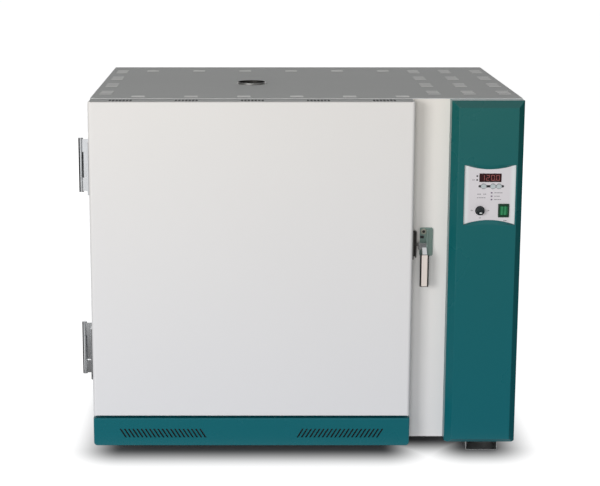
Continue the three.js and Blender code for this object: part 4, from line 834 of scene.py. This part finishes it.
def skin_group(name, marks, variation, rows):
    """A surface's height and tone, and a roughness that swings with the tone."""
    group, take, give = node_group(
        name, "ShaderNodeTree",
        [*rows, ("Roughness", "Float", 0.4), ("Variation", "Float", variation)],
        [(label, "Float", None) for label in ("Height", "Roughness", "Tone")],
    )
    plus, minus, times = arithmetic(group)
    place = add(group, "ShaderNodeTexCoord").outputs["Object"]
    height, tone = marks(group, place, take)
    rough = plus(take["Roughness"], times(minus(tone, 0.5), take["Variation"]))
    for label, source in (("Height", height), ("Roughness", rough), ("Tone", tone)):
        group.links.new(source, give[label])
    return group


# Materials


def new_material(name):
    material = bpy.data.materials.new(name)
    material.use_nodes = True
    return material, material.node_tree, material.node_tree.nodes["Principled BSDF"]


def skinned(kind, values, depth=0.0, gloss=0.5):
    """A new material on a shared skin, with its tree, its shader and the skin's outputs."""
    material, tree, shader = new_material("finish")
    skin = add(tree, "ShaderNodeGroup", values, node_tree=groups[kind]).outputs
    shader.inputs["Specular IOR Level"].default_value = gloss
    tree.links.new(skin["Roughness"], shader.inputs["Roughness"])
    if depth:
        bump_into(tree, shader, skin["Height"], depth)
    return material, tree, shader, skin


def bump_into(tree, shader, height, distance):
    bump = add(tree, "ShaderNodeBump", {"Height": height, "Distance": distance})
    tree.links.new(bump.outputs["Normal"], shader.inputs["Normal"])


def ramp(tree, mask, *stops):
    """Colours along a mask; each stop has a place and a colour."""
    node = add(tree, "ShaderNodeValToRGB", {"Fac": mask})
    elements = node.color_ramp.elements
    for index, (place, tone) in enumerate(stops):
        element = elements[index] if index < 2 else elements.new(place)
        element.color = (*tone, 1.0)
        element.position = place
    return node.outputs["Color"]


def two_tones(tree, shader, mask, first, second, low=0.35, high=0.65):
    """Base colour that drifts between two tones with a mask."""
    tree.links.new(ramp(tree, mask, (low, first), (high, second)), shader.inputs["Base Color"])


def dimmed(tone, factor):
    return tuple(channel * factor for channel in tone)


def object_place(tree):
    place = add(tree, "ShaderNodeTexCoord").outputs["Object"]
    return add(tree, "ShaderNodeSeparateXYZ", {0: place}).outputs


def rise_along(tree, axis, low, high):
    """A value that rises from 0 to 1 between two places on an axis."""
    inputs = {"Value": object_place(tree)[axis], "From Min": low, "From Max": high}
    return add(tree, "ShaderNodeMapRange", inputs)


def mottled(tree, shader, tone, mask, contrast):
    """Base colour from a drifting tone, a little darker where the mask is high."""
    darker = (1.0 - contrast, 1.0 - contrast, 1.0 - contrast, 1.0)
    mix = add(
        tree, "ShaderNodeMix", {"Factor": mask, "A": tone, "B": darker},
        data_type="RGBA", blend_type="MULTIPLY",
    )
    tree.links.new(mix.outputs["Result"], shader.inputs["Base Color"])


def surface(
    tone, roughness, stretch=None, *, kind, depth, contrast, metallic=0.0, gloss=0.5,
    low_tone=None,
):
    """A material in two near tones on a shared skin; a tone given for low down is painted light
    there.
    """
    values = {"Roughness": roughness, **({"Stretch": stretch} if stretch else {})}
    material, tree, shader, skin = skinned(kind, values, depth, gloss)
    shader.inputs["Metallic"].default_value = metallic
    # Painted light: low down the tone drifts to the given one, for the floor's cool bounce on the
    # ivory and a bluer reflection on the teal.
    if low_tone:
        painted_light_drift = ramp(tree, rise_along(tree, "Z", *PAINTED_LIGHT_RISE), (0.0, low_tone), (1.0, tone))
        mottled(tree, shader, painted_light_drift, skin["Tone"], contrast)
    else:
        two_tones(tree, shader, skin["Tone"], dimmed(tone, 1.0 - contrast), tone)
    return material


coated = partial(surface, kind="coat", depth=0.00006, contrast=0.03)
rolled = partial(surface, kind="sheet", depth=0.00002, contrast=0.12, metallic=1.0)
moulded = partial(surface, kind="grain", depth=0.00002, contrast=0.15)


def printed_foil(tone, rim):
    """The control plate's foil: a fine silver print, paler at its left and right edge."""
    values = {"Roughness": 0.45, "Stretch": STREAKS_ACROSS}
    material, tree, shader, skin = skinned("sheet", values, 0.00002)
    rise = rise_along(tree, "X", PLATE_LOW.x, PLATE_HIGH.x)
    places = ((0.0, rim), (1.0, rim), (0.06, rim), (0.13, tone), (0.87, tone), (0.94, rim))
    mottled(tree, shader, ramp(tree, rise, *places), skin["Tone"], 0.05)
    return material


def ribbed(tone, bright, pitch):
    """A tinted lens with upright ribs behind it."""
    material, tree, shader, skin = skinned("grain", {"Roughness": 0.2})
    plus, _, times = arithmetic(tree)
    turn = times(object_place(tree)["X"], 2.0 * math.pi / pitch)
    wave = times(calc(tree, "SINE", turn), 0.42)
    two_tones(tree, shader, plus(wave, times(skin["Tone"], 0.9)), tone, bright, 0.15, 0.95)
    bump_into(tree, shader, wave, 0.0001)
    return material


def glowing(tone, strength):
    """A lit segment: its glow drifts a little over the digit."""
    material = moulded(tone, 0.3, depth=0.0, contrast=0.2)
    shader = material.node_tree.nodes["Principled BSDF"].inputs
    shader["Emission Color"].default_value = (*tone, 1.0)
    shader["Emission Strength"].default_value = strength
    return material


class OVEN_OT_finishes(bpy.types.Operator):
    """Make the materials"""

    bl_idname = "oven.finishes"
    bl_label = "Finishes"

    def execute(self, context):
        paint = context.scene.oven_paint
        up, across = STREAKS_UP, STREAKS_ACROSS
        for kind, (marks, variation, rows) in SKINS.items():
            groups[kind] = skin_group(kind.capitalize() + " Skin", marks, variation, rows)
        finishes.update(
            ivory=coated(paint.ivory, 0.42, low_tone=paint.ivory_painted_bounce),
            frame=coated(paint.frame, 0.42, low_tone=paint.frame_painted_bounce),
            top=coated(paint.top, 0.6, gloss=0.06),
            louvre=coated(paint.louvre, 0.4, gloss=0.7),
            teal=coated(paint.teal, 0.28, contrast=0.06, gloss=0.3, low_tone=paint.teal_painted_reflection),
            motor=coated((0.06, 0.07, 0.08), 0.45),
            silver=printed_foil(paint.silver, paint.plate_rim),
            steel=rolled(paint.steel, 0.36, across, depth=0.00001),
            # Painted shade: near-black steel for the vent's inside and its damper.
            sooted=rolled((0.05, 0.048, 0.045), 0.5, up),
            zinc=rolled(paint.zinc, 0.45, up, contrast=0.25),
            # Painted shade: a dark zinc for the keeper, which sits in the door's shadow.
            dull_zinc=rolled((0.13, 0.125, 0.12), 0.4, up, contrast=0.3),
            chrome=rolled(paint.chrome, 0.16, up, contrast=0.05),
            dark_chrome=rolled((0.07, 0.06, 0.055), 0.35, up, contrast=0.1),
            satin=rolled(paint.satin, 0.4, up, metallic=0.35, contrast=0.06),
            latch_plate=rolled(paint.latch, 0.3, up, metallic=0.7, contrast=0.15),
            latch_ring=rolled((0.50, 0.50, 0.42), 0.35, up, metallic=0.8, contrast=0.1),
            tube=rolled((0.14, 0.12, 0.11), 0.4, up),
            brass=rolled((0.62, 0.50, 0.30), 0.3, up),
            collar=rolled((0.26, 0.26, 0.25), 0.5, across),
            black=moulded((0.014, 0.015, 0.016), 0.38),
            knob=moulded((0.007, 0.012, 0.014), 0.35, gloss=0.25),
            ivory_plastic=moulded((0.47, 0.52, 0.53), 0.42, contrast=0.05),
            dark_green=moulded((0.006, 0.038, 0.018), 0.3),
            green=ribbed((0.008, 0.13, 0.045), (0.05, 0.29, 0.13), 0.0072),
            red=moulded((0.028, 0.003, 0.004), 0.12),
            board=moulded((0.02, 0.12, 0.05), 0.4),
            rubber=moulded((0.30, 0.30, 0.30), 0.6),
            wool=moulded((0.60, 0.55, 0.40), 0.9, depth=0.001),
            dark_ink=moulded((0.010, 0.010, 0.013), 0.5),
            grey_ink=moulded((0.20, 0.19, 0.21), 0.5),
            white_ink=moulded((0.70, 0.72, 0.72), 0.45),
            lamp_off=moulded((0.17, 0.12, 0.19), 0.2),
            digits=glowing((0.30, 0.085, 0.08), 0.07),
        )
        for name, material in finishes.items():
            material.name = name + "_finish"
        return {"FINISHED"}


FINISH_OF_SLOT = {
    "ivory_paint": "ivory", "top_paint": "top", "teal_paint": "teal", "chrome": "chrome",
    "stainless": "steel", "stainless_wire": "steel", "heater_sheath": "tube",
    "galvanised": "zinc", "silver_plate": "silver", "display_red": "red",
    "key_ivory": "ivory_plastic", "black_plastic": "black", "switch_dark": "dark_green",
    "rocker_green": "green", "circuit_board": "board", "silicone_grey": "rubber",
    "mineral_wool": "wool", "motor_paint": "motor", "heat_sink": "black",
}


class OVEN_OT_plain_nodes(bpy.types.Operator):
    """Give every solid its finish"""

    bl_idname = "oven.plain_nodes"
    bl_label = "Solids"

    def execute(self, context):
        for node, solid in frame["nodes"].items():
            solid.data.materials.clear()
            solid.data.materials.append(finishes[FINISH_OF_SLOT[slot_of(node)]])
        return {"FINISHED"}


class OVEN_OT_casing(bpy.types.Operator):
    """Round the edges of the casing, the door, the plinth and the column"""

    bl_idname = "oven.casing"
    bl_label = "Casing"

    def execute(self, context):
        sizes = context.scene.oven_sizes
        # Painted light: the frame takes the brighter copy of the ivory coat.
        softened("front_frame", "frame", sizes.sheet_edge)
        self.door(sizes)
        softened("column_cover", "teal", 2 * sizes.sheet_edge, 4)
        softened("plinth_cover", "teal", SHEET_ROUNDING, rolled=sizes.rolled_edge)
        for side in ("left", "right"):
            softened(side + "_side_panel", "ivory", SHEET_ROUNDING)
        softened("back_panel", "zinc", SHEET_ROUNDING)
        top = softened("top_panel", "top", SHEET_ROUNDING, 1, 25.0)
        # Painted highlight: the louvres' lips above the top take the brighter, glossier coat.
        recoloured(top, "louvre", lambda face: face.center.z > DOOR_HIGH.z + SKIN)
        self.grille_backing()
        for place in ("front_left", "front_right", "rear_left", "rear_right"):
            softened("foot_" + place, "zinc", sizes.fitting_edge)
        self.inlet(sizes.fitting_edge / 3)
        return {"FINISHED"}

    def grille_backing(self):
        """A black block behind the plinth's slots: painted shade for the dark behind them."""
        low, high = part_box("plinth_cover")
        wall = 1.2 * SIDE_SHEET
        shade_block = block(
            "grille_backing", (low.x + wall, low.y + 3 * SIDE_SHEET, low.z + wall),
            (high.x - wall, low.y + 4 * SIDE_SHEET, high.z - wall), SHEET_ROUNDING,
        )
        finish_piece(shade_block, "black")

    def inlet(self, edge):
        """The mains inlet with brass blades."""
        low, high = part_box("power_inlet")
        middle = (low + high) / 2

        def on_blade(face):
            away = face.center - middle
            reach = min(
                max(abs(away.x - x) / BLADE_HALF_WIDTH, abs(away.z - z) / BLADE_HALF_HEIGHT)
                for x, z in INLET_BLADES
            )
            return face.center.y < high.y - BLADE_DEPTH and reach < 1.0

        inlet = softened("power_inlet", "black", edge, 1)
        recoloured(inlet, "brass", on_blade)

    def door(self, sizes):
        """The door's skin with rolled front edges and a duller top; its slots' walls and a black
        block under them are painted shade.
        """
        low, high = DOOR_LOW, DOOR_HIGH
        under = high.z - SIDE_SHEET

        def in_slot_painted_shade(face):
            at = face.center
            inset = min(at.x - low.x, high.x - at.x, at.y - low.y, high.y - at.y)
            upright = abs(face.normal.z) < 0.9
            return at.z > under - SKIN and upright and inset > 2 * sizes.rolled_edge

        points = []
        for share_along in VENT_GROUP_SHARES:
            for index in range(VENT_COUNT):
                x = between(low.x, high.x, share_along)
                x += (index - (VENT_COUNT - 1) / 2) * VENT_PITCH
                points.append(((x, low.y + VENT_SETBACK, high.z), (0.0, 0.0, 1.0)))
        cutter = grown("vent_cutters", slot_tree(), "black", {
            "Width": sizes.vent_width, "Length": sizes.vent_length, "Depth": 4 * SIDE_SHEET,
        }, points)
        skin = softened(
            "door_outer_skin", "ivory", SHEET_ROUNDING, rolled=sizes.rolled_edge,
            cutter=cutter,
        )
        recoloured(skin, "top", lambda face: face.center.z > high.z - SKIN)
        # Painted shade: the slots' walls are black, and a black block under them stands for the
        # dark inside the door.
        recoloured(skin, "black", in_slot_painted_shade)
        inner_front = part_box("door_inner_skin")[0].y
        shade_block = block(
            "door_vent_backing",
            (low.x + 4 * SIDE_SHEET, low.y + 3 * SIDE_SHEET, under - VENT_SHADE_BLOCK_DEPTH),
            (high.x - 4 * SIDE_SHEET, inner_front - 2 * SKIN, under - 2 * SKIN), SHEET_ROUNDING,
        )
        finish_piece(shade_block, "black", body_of("door_outer_skin"))


class OVEN_OT_vent(bpy.types.Operator):
    """Round the vent's collar and paint its inside near black, as painted shade"""

    bl_idname = "oven.vent"
    bl_label = "Vent"

    def execute(self, context):
        edge = context.scene.oven_sizes.fitting_edge
        low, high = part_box("vent_pipe")
        middle = (low + high) / 2
        seen_depth = 0.06

        def inside(face):
            outwards = Vector((face.center.x - middle.x, face.center.y - middle.y))
            seen = face.center.z > DOOR_HIGH.z - seen_depth
            return seen and outwards.dot(face.normal.xy) < -1e-4

        # Painted shade: the seen inside of the pipe and the damper are near black.
        pipe = softened("vent_pipe", "collar", edge, 3)
        recoloured(pipe, "sooted", inside)
        softened("vent_damper", "sooted", edge / 2)
        return {"FINISHED"}


class OVEN_OT_hinges(bpy.types.Operator):
    """Round the hinges' edges and screw their leaves on"""

    bl_idname = "oven.hinges"
    bl_label = "Hinges"

    def execute(self, context):
        sizes = context.scene.oven_sizes
        tree = screw_tree()
        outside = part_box("left_side_panel")[0].x - HINGE_LEAF + SCREW_SEAT
        for height in ("lower", "upper"):
            for part in ("frame_leaf", "door_leaf", "pin"):
                softened("hinge_" + height + "_" + part, "chrome", sizes.fitting_edge)
        for part in ("frame_leaf", "door_leaf"):
            points = []
            for height in ("lower", "upper"):
                low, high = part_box("hinge_" + height + "_" + part)
                on_door = part == "door_leaf"
                y = low.y + LEAF_SCREW_INSET if on_door else high.y - LEAF_SCREW_INSET
                for up in LEAF_SCREWS:
                    points.append(((outside, y, between(low.z, high.z, up)), (-1.0, 0.0, 0.0)))
            piece = screws("hinge_" + part + "_screws", tree, sizes, points)
            finish_piece(piece, "chrome", body_of("hinge_upper_" + part))
        return {"FINISHED"}


class OVEN_OT_latch(bpy.types.Operator):
    """Finish the latch: base, ringed screw, buffer, lever with its bright paddle, and keeper"""

    bl_idname = "oven.latch"
    bl_label = "Latch"

    def execute(self, context):
        edge = context.scene.oven_sizes.fitting_edge
        softened("latch_base", "latch_plate", edge, 3)
        softened("latch_pin", "dark_chrome", edge)
        lever = softened("latch_lever", "chrome", edge, 3)
        # Painted shade: the keeper is dark zinc for the door's shadow it sits in.
        softened("door_keeper", "dull_zinc", edge)
        low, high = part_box("latch_base")
        plate = high.y - LATCH_PLATE
        ring_x, ring_z = low.x + RING_INSET, high.z - RING_INSET
        for name, finish, steps, profile in (
            ("latch_ring", "latch_ring", 40, RING_PROFILE),
            ("latch_dimple", "dark_chrome", 32, DIMPLE_PROFILE),
        ):
            deep = [(radius, plate - RING_DEPTH + y) for radius, y in profile]
            piece = lathed(name, deep, (ring_x, ring_z), steps)
            finish_piece(piece, finish)
        corners = [
            [start + away for start, away in zip((low.x, plate, ring_z), corner)]
            for corner in (BUFFER_LOW, BUFFER_HIGH)
        ]
        finish_piece(block("latch_buffer", *corners, edge), "black")
        self.paddle(lever)
        return {"FINISHED"}

    def paddle(self, lever):
        """Darkens the lever's lower part and sets the bright face on it."""
        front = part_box("latch_lever")[0].y
        mesh = lever.data
        corners = [
            mesh.vertices[index].co
            for face in mesh.polygons
            if face.normal.y < -0.95 and face.center.y < front + 0.0004
            for index in face.vertices
        ]
        across, up = [corner.x for corner in corners], [corner.z for corner in corners]
        rim = PADDLE_RIM
        darkened = max(up) + rim
        recoloured(lever, "dark_chrome", lambda face: face.center.z < darkened)
        places = (min(across) + rim, max(across) - 1.6 * rim, min(up) + rim, max(up) - rim)
        face = smoothed(patch("paddle_face", places, 0.0012, front + 0.00002, PADDLE_FACE))
        finish_piece(face, "satin", body_of("latch_lever"))


class OVEN_OT_interior(bpy.types.Operator):
    """Finish the chamber, its fittings and the inside of the door"""

    bl_idname = "oven.interior"
    bl_label = "Chamber and door lining"

    def execute(self, context):
        edge = context.scene.oven_sizes.fitting_edge
        for node, finish, width, segments in (
            ("door_gasket", "rubber", 5 * edge, 4),
            ("door_inner_skin", "steel", edge, 2),
            ("chamber_liner", "steel", edge, 2),
            ("air_baffle", "steel", edge / 2, 1),
            ("shelf_rail_left", "steel", edge / 2, 2),
            ("shelf_rail_right", "steel", edge / 2, 2),
        ):
            softened(node, finish, width, segments)
        rounded_smooth("temperature_probe", "steel")
        for place in ("inner", "outer"):
            rounded_smooth("heater_" + place, "tube", 50.0)
        softened("fan_wheel", "steel", edge / 3, 1)
        softened("fan_motor", "motor", edge)
        return {"FINISHED"}


class OVEN_OT_shelves(bpy.types.Operator):
    """Grow the wire shelves"""

    bl_idname = "oven.shelves"
    bl_label = "Wire shelves"

    def execute(self, context):
        sizes = context.scene.oven_sizes
        tree = shelf_tree()
        for node in ("shelf_lower", "shelf_upper"):
            low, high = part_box(node)
            piece = grown(node + "_wires", tree, "steel", {
                "Middle": tuple((low + high) / 2),
                "Width": high.x - low.x,
                "Depth": high.y - low.y,
                "Corner": 4 * sizes.shelf_rod,
                "Rod Radius": sizes.shelf_rod,
                "Wire Radius": sizes.shelf_wire,
                "Pitch": sizes.shelf_pitch,
                "Wire Drop": sizes.shelf_rod - sizes.shelf_wire,
            })
            stand_for(smoothed(piece, 50.0), node, "steel")
        return {"FINISHED"}


class OVEN_OT_screws(bpy.types.Operator):
    """Grow the casing screws"""

    bl_idname = "oven.screws"
    bl_label = "Casing screws"

    def execute(self, context):
        low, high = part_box("back_panel")
        points = [(
            (between(low.x, high.x, across), high.y - SCREW_SEAT, between(low.z, high.z, up)),
            (0.0, 1.0, 0.0),
        ) for across, up in BACK_SCREWS]
        for node, sideways in (("left_side_panel", -1.0), ("right_side_panel", 1.0)):
            low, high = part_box(node)
            face = low.x + SCREW_SEAT if sideways < 0 else low.x + SIDE_SHEET - SCREW_SEAT
            points += [(
                (face, between(low.y, high.y, along), between(low.z, high.z, up)),
                (sideways, 0.0, 0.0),
            ) for along, up in SIDE_SCREWS]
        piece = screws("casing_screws", screw_tree(), context.scene.oven_sizes, points)
        finish_piece(piece, "chrome")
        return {"FINISHED"}


class OVEN_OT_controls(bpy.types.Operator):
    """Set the display's figures, the marks and the lamps on the control plate"""

    bl_idname = "oven.controls"
    bl_label = "Control plate"

    def execute(self, context):
        sizes = context.scene.oven_sizes
        thick, face = sizes.print_thickness, PLATE_LOW.y
        dots = [
            patch("dot", around(x, z, *DOT_HALF_SIZE), DOT_ROUNDING, face, 2 * thick)
            for x, z in CONTROL_DOTS
        ]
        legends = [
            patch(
                "word", (left, right, z - high / 2, z + high / 2), high * WORD_ROUNDING, face,
                thick,
            )
            for z, high, words in LEGENDS for left, right in words
        ]
        lamps = [
            patch(
                "lamp", (LAMP_LEFT, LAMP_RIGHT, z - LAMP_HALF_HEIGHT, z + LAMP_HALF_HEIGHT),
                LAMP_ROUNDING, face, 3 * thick,
            )
            for z in CONTROL_LAMPS
        ]
        for name, pieces, finish, slot in (
            ("control_dots", dots, "dark_ink", "black_plastic"),
            ("display_figures", digits("120.0"), "digits", "display_red"),
            ("control_legends", legends, "grey_ink", "black_plastic"),
            ("control_lamps", lamps, "lamp_off", "display_red"),
        ):
            finish_piece(merged(name, pieces), finish)
        self.keys(face, thick, sizes.fitting_edge)
        self.limiter(face, thick, sizes.dial_marks)
        softened("power_rocker", "green", sizes.fitting_edge / 2)
        softened("power_switch_bezel", "dark_green", sizes.fitting_edge / 2)
        rounded_smooth("display_lens", "red")
        return {"FINISHED"}

    def keys(self, face, thick, edge):
        """The three oval keys, the dark band behind them and a printed rim round each."""
        band = patch("key_band", KEY_BAND, KEY_BAND_ROUNDING, face, thick)
        holes, rims = [], []
        for node in ("key_set", "key_down", "key_up"):
            key = softened(node, "ivory_plastic", 2 * edge, 3)
            low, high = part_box(node)
            middle = (low + high) / 2
            centre = (middle.x, middle.z)
            radius = (high.x - low.x) / 2 + KEY_GAP
            wide, front = radius + KEY_RIM, face - 1.6 * thick
            start, end = face - KEY_HOLE_DEPTH, face + KEY_HOLE_DEPTH
            holes.append(lathed(
                "hole", [(0.0, start), (radius, start), (radius, end), (0.0, end)], centre
            ))
            rims.append(lathed(
                "rim", [(radius, face), (radius, front), (wide, front), (wide, face)], centre
            ))
            for piece in (key, holes[-1], rims[-1]):
                for vertex in piece.data.vertices:
                    vertex.co.z = middle.z + (vertex.co.z - middle.z) * KEY_FLATNESS
        finish_piece(cut_by(band, *holes), "dark_ink")
        finish_piece(merged("key_rims", rims), "grey_ink")

    def limiter(self, face, thick, mark_count):
        """The limiter's fluted knob with its mark, and the scale round it."""
        low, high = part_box("limiter_knob")
        middle = (low + high) / 2
        front, wide = low.y, (high.x - low.x) / 2
        knob = lathed("limiter_knob_turned", [
            (0.0, front),
            *((part * wide, front + depth) for part, depth in KNOB_GRIP),
            *((part * wide, face - height) for part, height in KNOB_SKIRT),
            (KNOB_SHAFT, face - KNOB_SKIRT[-1][1]), (KNOB_SHAFT, high.y), (0.0, high.y),
        ], (middle.x, middle.z), 96)
        self.flute(knob, middle, wide, front)
        stand_for(smoothed(knob, 50.0), "limiter_knob", "knob")
        left, right, bottom, top = KNOB_MARK
        places = (middle.x + left, middle.x + right, middle.z + bottom, middle.z + top)
        mark = patch("limiter_mark", places, KNOB_MARK_ROUNDING, front, thick)
        finish_piece(mark, "white_ink", body_of("limiter_knob"))
        dial = grown("dial_marks", dial_tree(), "grey_ink", {
            "Middle": (middle.x, face - thick / 2, middle.z), "Count": mark_count,
            "Radius": DIAL_RADIUS, "Thickness": thick, "Mark Length": DIAL_MARK_LENGTH,
            "Mark Width": DIAL_MARK_WIDTH,
        })
        finish_piece(dial, "grey_ink")
        figures = [
            lettered(text, middle.x + x, middle.z + z, DIAL_FIGURE_HEIGHT, face, thick)
            for text, x, z in DIAL_FIGURES
        ]
        figures = merged("dial_figures", figures)
        finish_piece(figures, "dark_ink")

    def flute(self, knob, middle, wide, front):
        """Shallow flutes round the knob's grip."""
        for vertex in knob.data.vertices:
            x, z = vertex.co.x - middle.x, vertex.co.z - middle.z
            if 0.70 * wide < math.hypot(x, z) < 0.85 * wide and vertex.co.y > front + 0.0002:
                wave = 0.5 + 0.5 * math.cos(KNOB_FLUTES * math.atan2(z, x))
                flute = 1.0 - FLUTE_DEPTH * wave
                vertex.co.x, vertex.co.z = middle.x + x * flute, middle.z + z * flute


def digits(figures):
    """The parts of seven-segment figures on the face of the display window."""
    low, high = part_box("display_lens")
    height = (high.z - low.z) * DIGIT_HEIGHT
    width, bar = height * DIGIT_WIDTH, height * DIGIT_BAR
    pitch = width * DIGIT_PITCH
    bottom = (low.z + high.z) / 2 - height / 2
    count = len(figures.replace(".", ""))
    left = (low.x + high.x) / 2 - (pitch * (count - 1) + width) / 2
    middle, top, gap = bottom + height / 2, bottom + height, bar / 4
    parts = []
    for figure in figures:
        right = left + width
        point = left - (pitch - width) / 2
        places = {
            "a": (left + bar, right - bar, top - bar, top),
            "b": (right - bar, right, middle + gap, top - gap),
            "c": (right - bar, right, bottom + gap, middle - gap),
            "d": (left + bar, right - bar, bottom, bottom + bar),
            "e": (left, left + bar, bottom + gap, middle - gap),
            "f": (left, left + bar, middle + gap, top - gap),
            "g": (left + bar, right - bar, middle - bar / 2, middle + bar / 2),
            ".": (point - bar / 2, point + bar / 2, bottom, bottom + bar),
        }
        for segment in SEGMENTS.get(figure, figure):
            parts.append(patch("segment", places[segment], bar * WORD_ROUNDING, low.y, DIGIT_DEPTH))
        if figure != ".":
            left += pitch
    return parts


# Stage


def lamp(name, power, place, target, size, shows_in_gloss):
    data = bpy.data.lights.new(name, "AREA")
    data.energy = power
    data.shape = "RECTANGLE"
    data.size, data.size_y = size
    thing = link(bpy.data.objects.new(name, data))
    thing.location = place
    way = Vector(target) - Vector(place)
    thing.rotation_euler = way.to_track_quat("-Z", "Y").to_euler()
    thing.visible_glossy = shows_in_gloss


def seen_white(tree):
    """A mask that is 1 for rays from the camera, from gloss and through glass."""
    path = add(tree, "ShaderNodeLightPath").outputs
    first = calc(tree, "MAXIMUM", path["Is Camera Ray"], path["Is Glossy Ray"])
    return calc(tree, "MAXIMUM", first, path["Is Transmission Ray"])


def make_world(level):
    """White to the eye and to gloss; its light comes from the left, and less from above."""
    world = bpy.data.worlds.new("Studio")
    bpy.context.scene.world = world
    world.use_nodes = True
    tree = world.node_tree
    plus, _, times = arithmetic(tree)
    back = tree.nodes["Background"].inputs
    back["Color"].default_value = WHITE
    place = add(tree, "ShaderNodeTexCoord").outputs["Generated"]
    way = add(tree, "ShaderNodeSeparateXYZ", {0: place}).outputs
    sideways = plus(times(way["X"], WORLD_LEFT), times(way["Y"], WORLD_FRONT))
    above = times(calc(tree, "ABSOLUTE", way["Z"]), WORLD_HEIGHT)
    shares = plus(plus(sideways, above), WORLD_BASE, clamp=True)
    strength = calc(tree, "MAXIMUM", seen_white(tree), times(shares, level))
    tree.links.new(strength, back["Strength"])


def away_from(tree, place, low, high):
    """How far a point of the floor lies outside a rectangle."""
    middle = ((low[0] + high[0]) / 2, (low[1] + high[1]) / 2, 0.0)
    half = ((high[0] - low[0]) / 2, (high[1] - low[1]) / 2, 0.0)
    nothing = (0.0, 0.0, 0.0)
    way = place
    for operation, amount in (
        ("SUBTRACT", middle), ("ABSOLUTE", nothing), ("SUBTRACT", half), ("MAXIMUM", nothing),
    ):
        way = add(tree, "ShaderNodeVectorMath", {0: way, 1: amount}, operation=operation)
    return add(tree, "ShaderNodeVectorMath", {0: way}, operation="LENGTH").outputs["Value"]


def glowing_sheet(name, corners, tone, roughness):
    """A flat dull sheet that can glow white, with its tree and its shader's inputs."""
    sheet = mesh_piece(name, corners, [(0, 1, 2, 3)])
    material, tree, shader = new_material(name)
    shader.inputs["Base Color"].default_value = (*tone, 1.0)
    shader.inputs["Roughness"].default_value = roughness
    shader.inputs["Specular IOR Level"].default_value = 0.0
    shader.inputs["Emission Color"].default_value = WHITE
    sheet.data.materials.append(material)
    return sheet, tree, shader.inputs


def make_floor(tone, edge_fade, bounce):
    """A wide floor that meets the white background, and keeps the real shadow round the oven; its
    glow also fades near the oven's foot, a painted shadow in a set shape.
    """
    corners = [
        (x * FLOOR_REACH, y * FLOOR_REACH, 0.0) for x, y in ((-1, -1), (1, -1), (1, 1), (-1, 1))
    ]
    floor, tree, shader = glowing_sheet("floor", corners, tone, 0.9)
    place = add(tree, "ShaderNodeTexCoord").outputs["Object"]
    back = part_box("back_panel")[1].y - SHADOW_END_INSET
    nearest = None
    for node in ("front_frame", "door_outer_skin", "column_cover"):
        low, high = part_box(node)
        away = away_from(
            tree, place, (low.x + SHADOW_SIDE_INSET, low.y + SHADOW_END_INSET),
            (high.x - SHADOW_SIDE_INSET, back),
        )
        nearest = calc(tree, "MINIMUM", nearest, away) if nearest else away
    # Painted shadow: the glow is nil near the oven's foot and rises over the fade width, so the
    # floor darkens there in a set shape, on top of the real shadow.
    rise = add(
        tree, "ShaderNodeMapRange", {"Value": nearest, "From Min": 0.0, "From Max": edge_fade},
        interpolation_type="SMOOTHSTEP",
    )
    seen = calc(tree, "MAXIMUM", seen_white(tree), bounce)
    glow = calc(tree, "MULTIPLY", seen, rise.outputs["Result"])
    tree.links.new(glow, shader["Emission Strength"])


def gloss_board(name, low, high, level):
    """A board that only shows in gloss, so that bright metal has darker edges."""
    corners = [low, (low[0], high[1], low[2]), high, (high[0], low[1], high[2])]
    board, _, shader = glowing_sheet(name, corners, (0.01, 0.01, 0.01), 1.0)
    shader["Emission Strength"].default_value = level
    board.visible_camera = False
    board.visible_diffuse = False
    board.visible_shadow = False
    board.visible_transmission = False


def make_camera(stage):
    data = bpy.data.cameras.new("Camera")
    data.lens = stage.focal_length
    data.shift_x = stage.sideways_shift
    data.shift_y = stage.upward_shift
    camera = link(bpy.data.objects.new("Camera", data))
    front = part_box("front_frame")[0].y
    camera.location = (-stage.camera_side, front - stage.camera_distance, stage.camera_height)
    camera.rotation_euler = (math.pi / 2 - stage.camera_tilt, 0.0, 0.0)
    bpy.context.scene.camera = camera


class OVEN_OT_stage(bpy.types.Operator):
    """Set up the floor, the lamps, the world and the camera"""

    bl_idname = "oven.stage"
    bl_label = "Stage"

    def execute(self, context):
        stage = context.scene.oven_stage
        context.scene.view_settings.view_transform = "Standard"
        make_world(stage.sky_level)
        make_floor(stage.floor_colour, stage.floor_fade, stage.floor_bounce)
        for name, power, *how in LAMPS:
            lamp(name, getattr(stage, power), *how)
        for name, low, high in BOARDS:
            in_front = name == "floor_board"
            gloss_board(name, low, high, stage.floor_gloss if in_front else DARK_BOARD)
        make_camera(stage)
        return {"FINISHED"}


class OVEN_PT_panel(bpy.types.Panel):
    """Lists the operators"""

    bl_idname = "OVEN_PT_panel"
    bl_label = "Laboratory Oven"
    bl_space_type = "VIEW_3D"
    bl_region_type = "UI"
    bl_category = "Oven"

    def draw(self, context):
        column = self.layout.column()
        for operator in OPERATORS:
            column.operator(operator.bl_idname)


OPERATORS = (
    OVEN_OT_stage,
    OVEN_OT_finishes,
    OVEN_OT_plain_nodes,
    OVEN_OT_casing,
    OVEN_OT_vent,
    OVEN_OT_hinges,
    OVEN_OT_latch,
    OVEN_OT_interior,
    OVEN_OT_shelves,
    OVEN_OT_screws,
    OVEN_OT_controls,
)
SETTINGS = (OvenStage, OvenPaint, OvenSizes)


def register():
    for kind in (*SETTINGS, *OPERATORS, OVEN_PT_panel):
        bpy.utils.register_class(kind)
    bpy.types.Scene.oven_stage = PointerProperty(type=OvenStage)
    bpy.types.Scene.oven_paint = PointerProperty(type=OvenPaint)
    bpy.types.Scene.oven_sizes = PointerProperty(type=OvenSizes)


def unregister():
    del bpy.types.Scene.oven_sizes
    del bpy.types.Scene.oven_paint
    del bpy.types.Scene.oven_stage
    for kind in reversed((*SETTINGS, *OPERATORS, OVEN_PT_panel)):
        bpy.utils.unregister_class(kind)


def main():
    register()
    for operator in OPERATORS:
        getattr(bpy.ops.oven, operator.bl_idname.split(".")[1])()


if __name__ == "__main__":
    main()
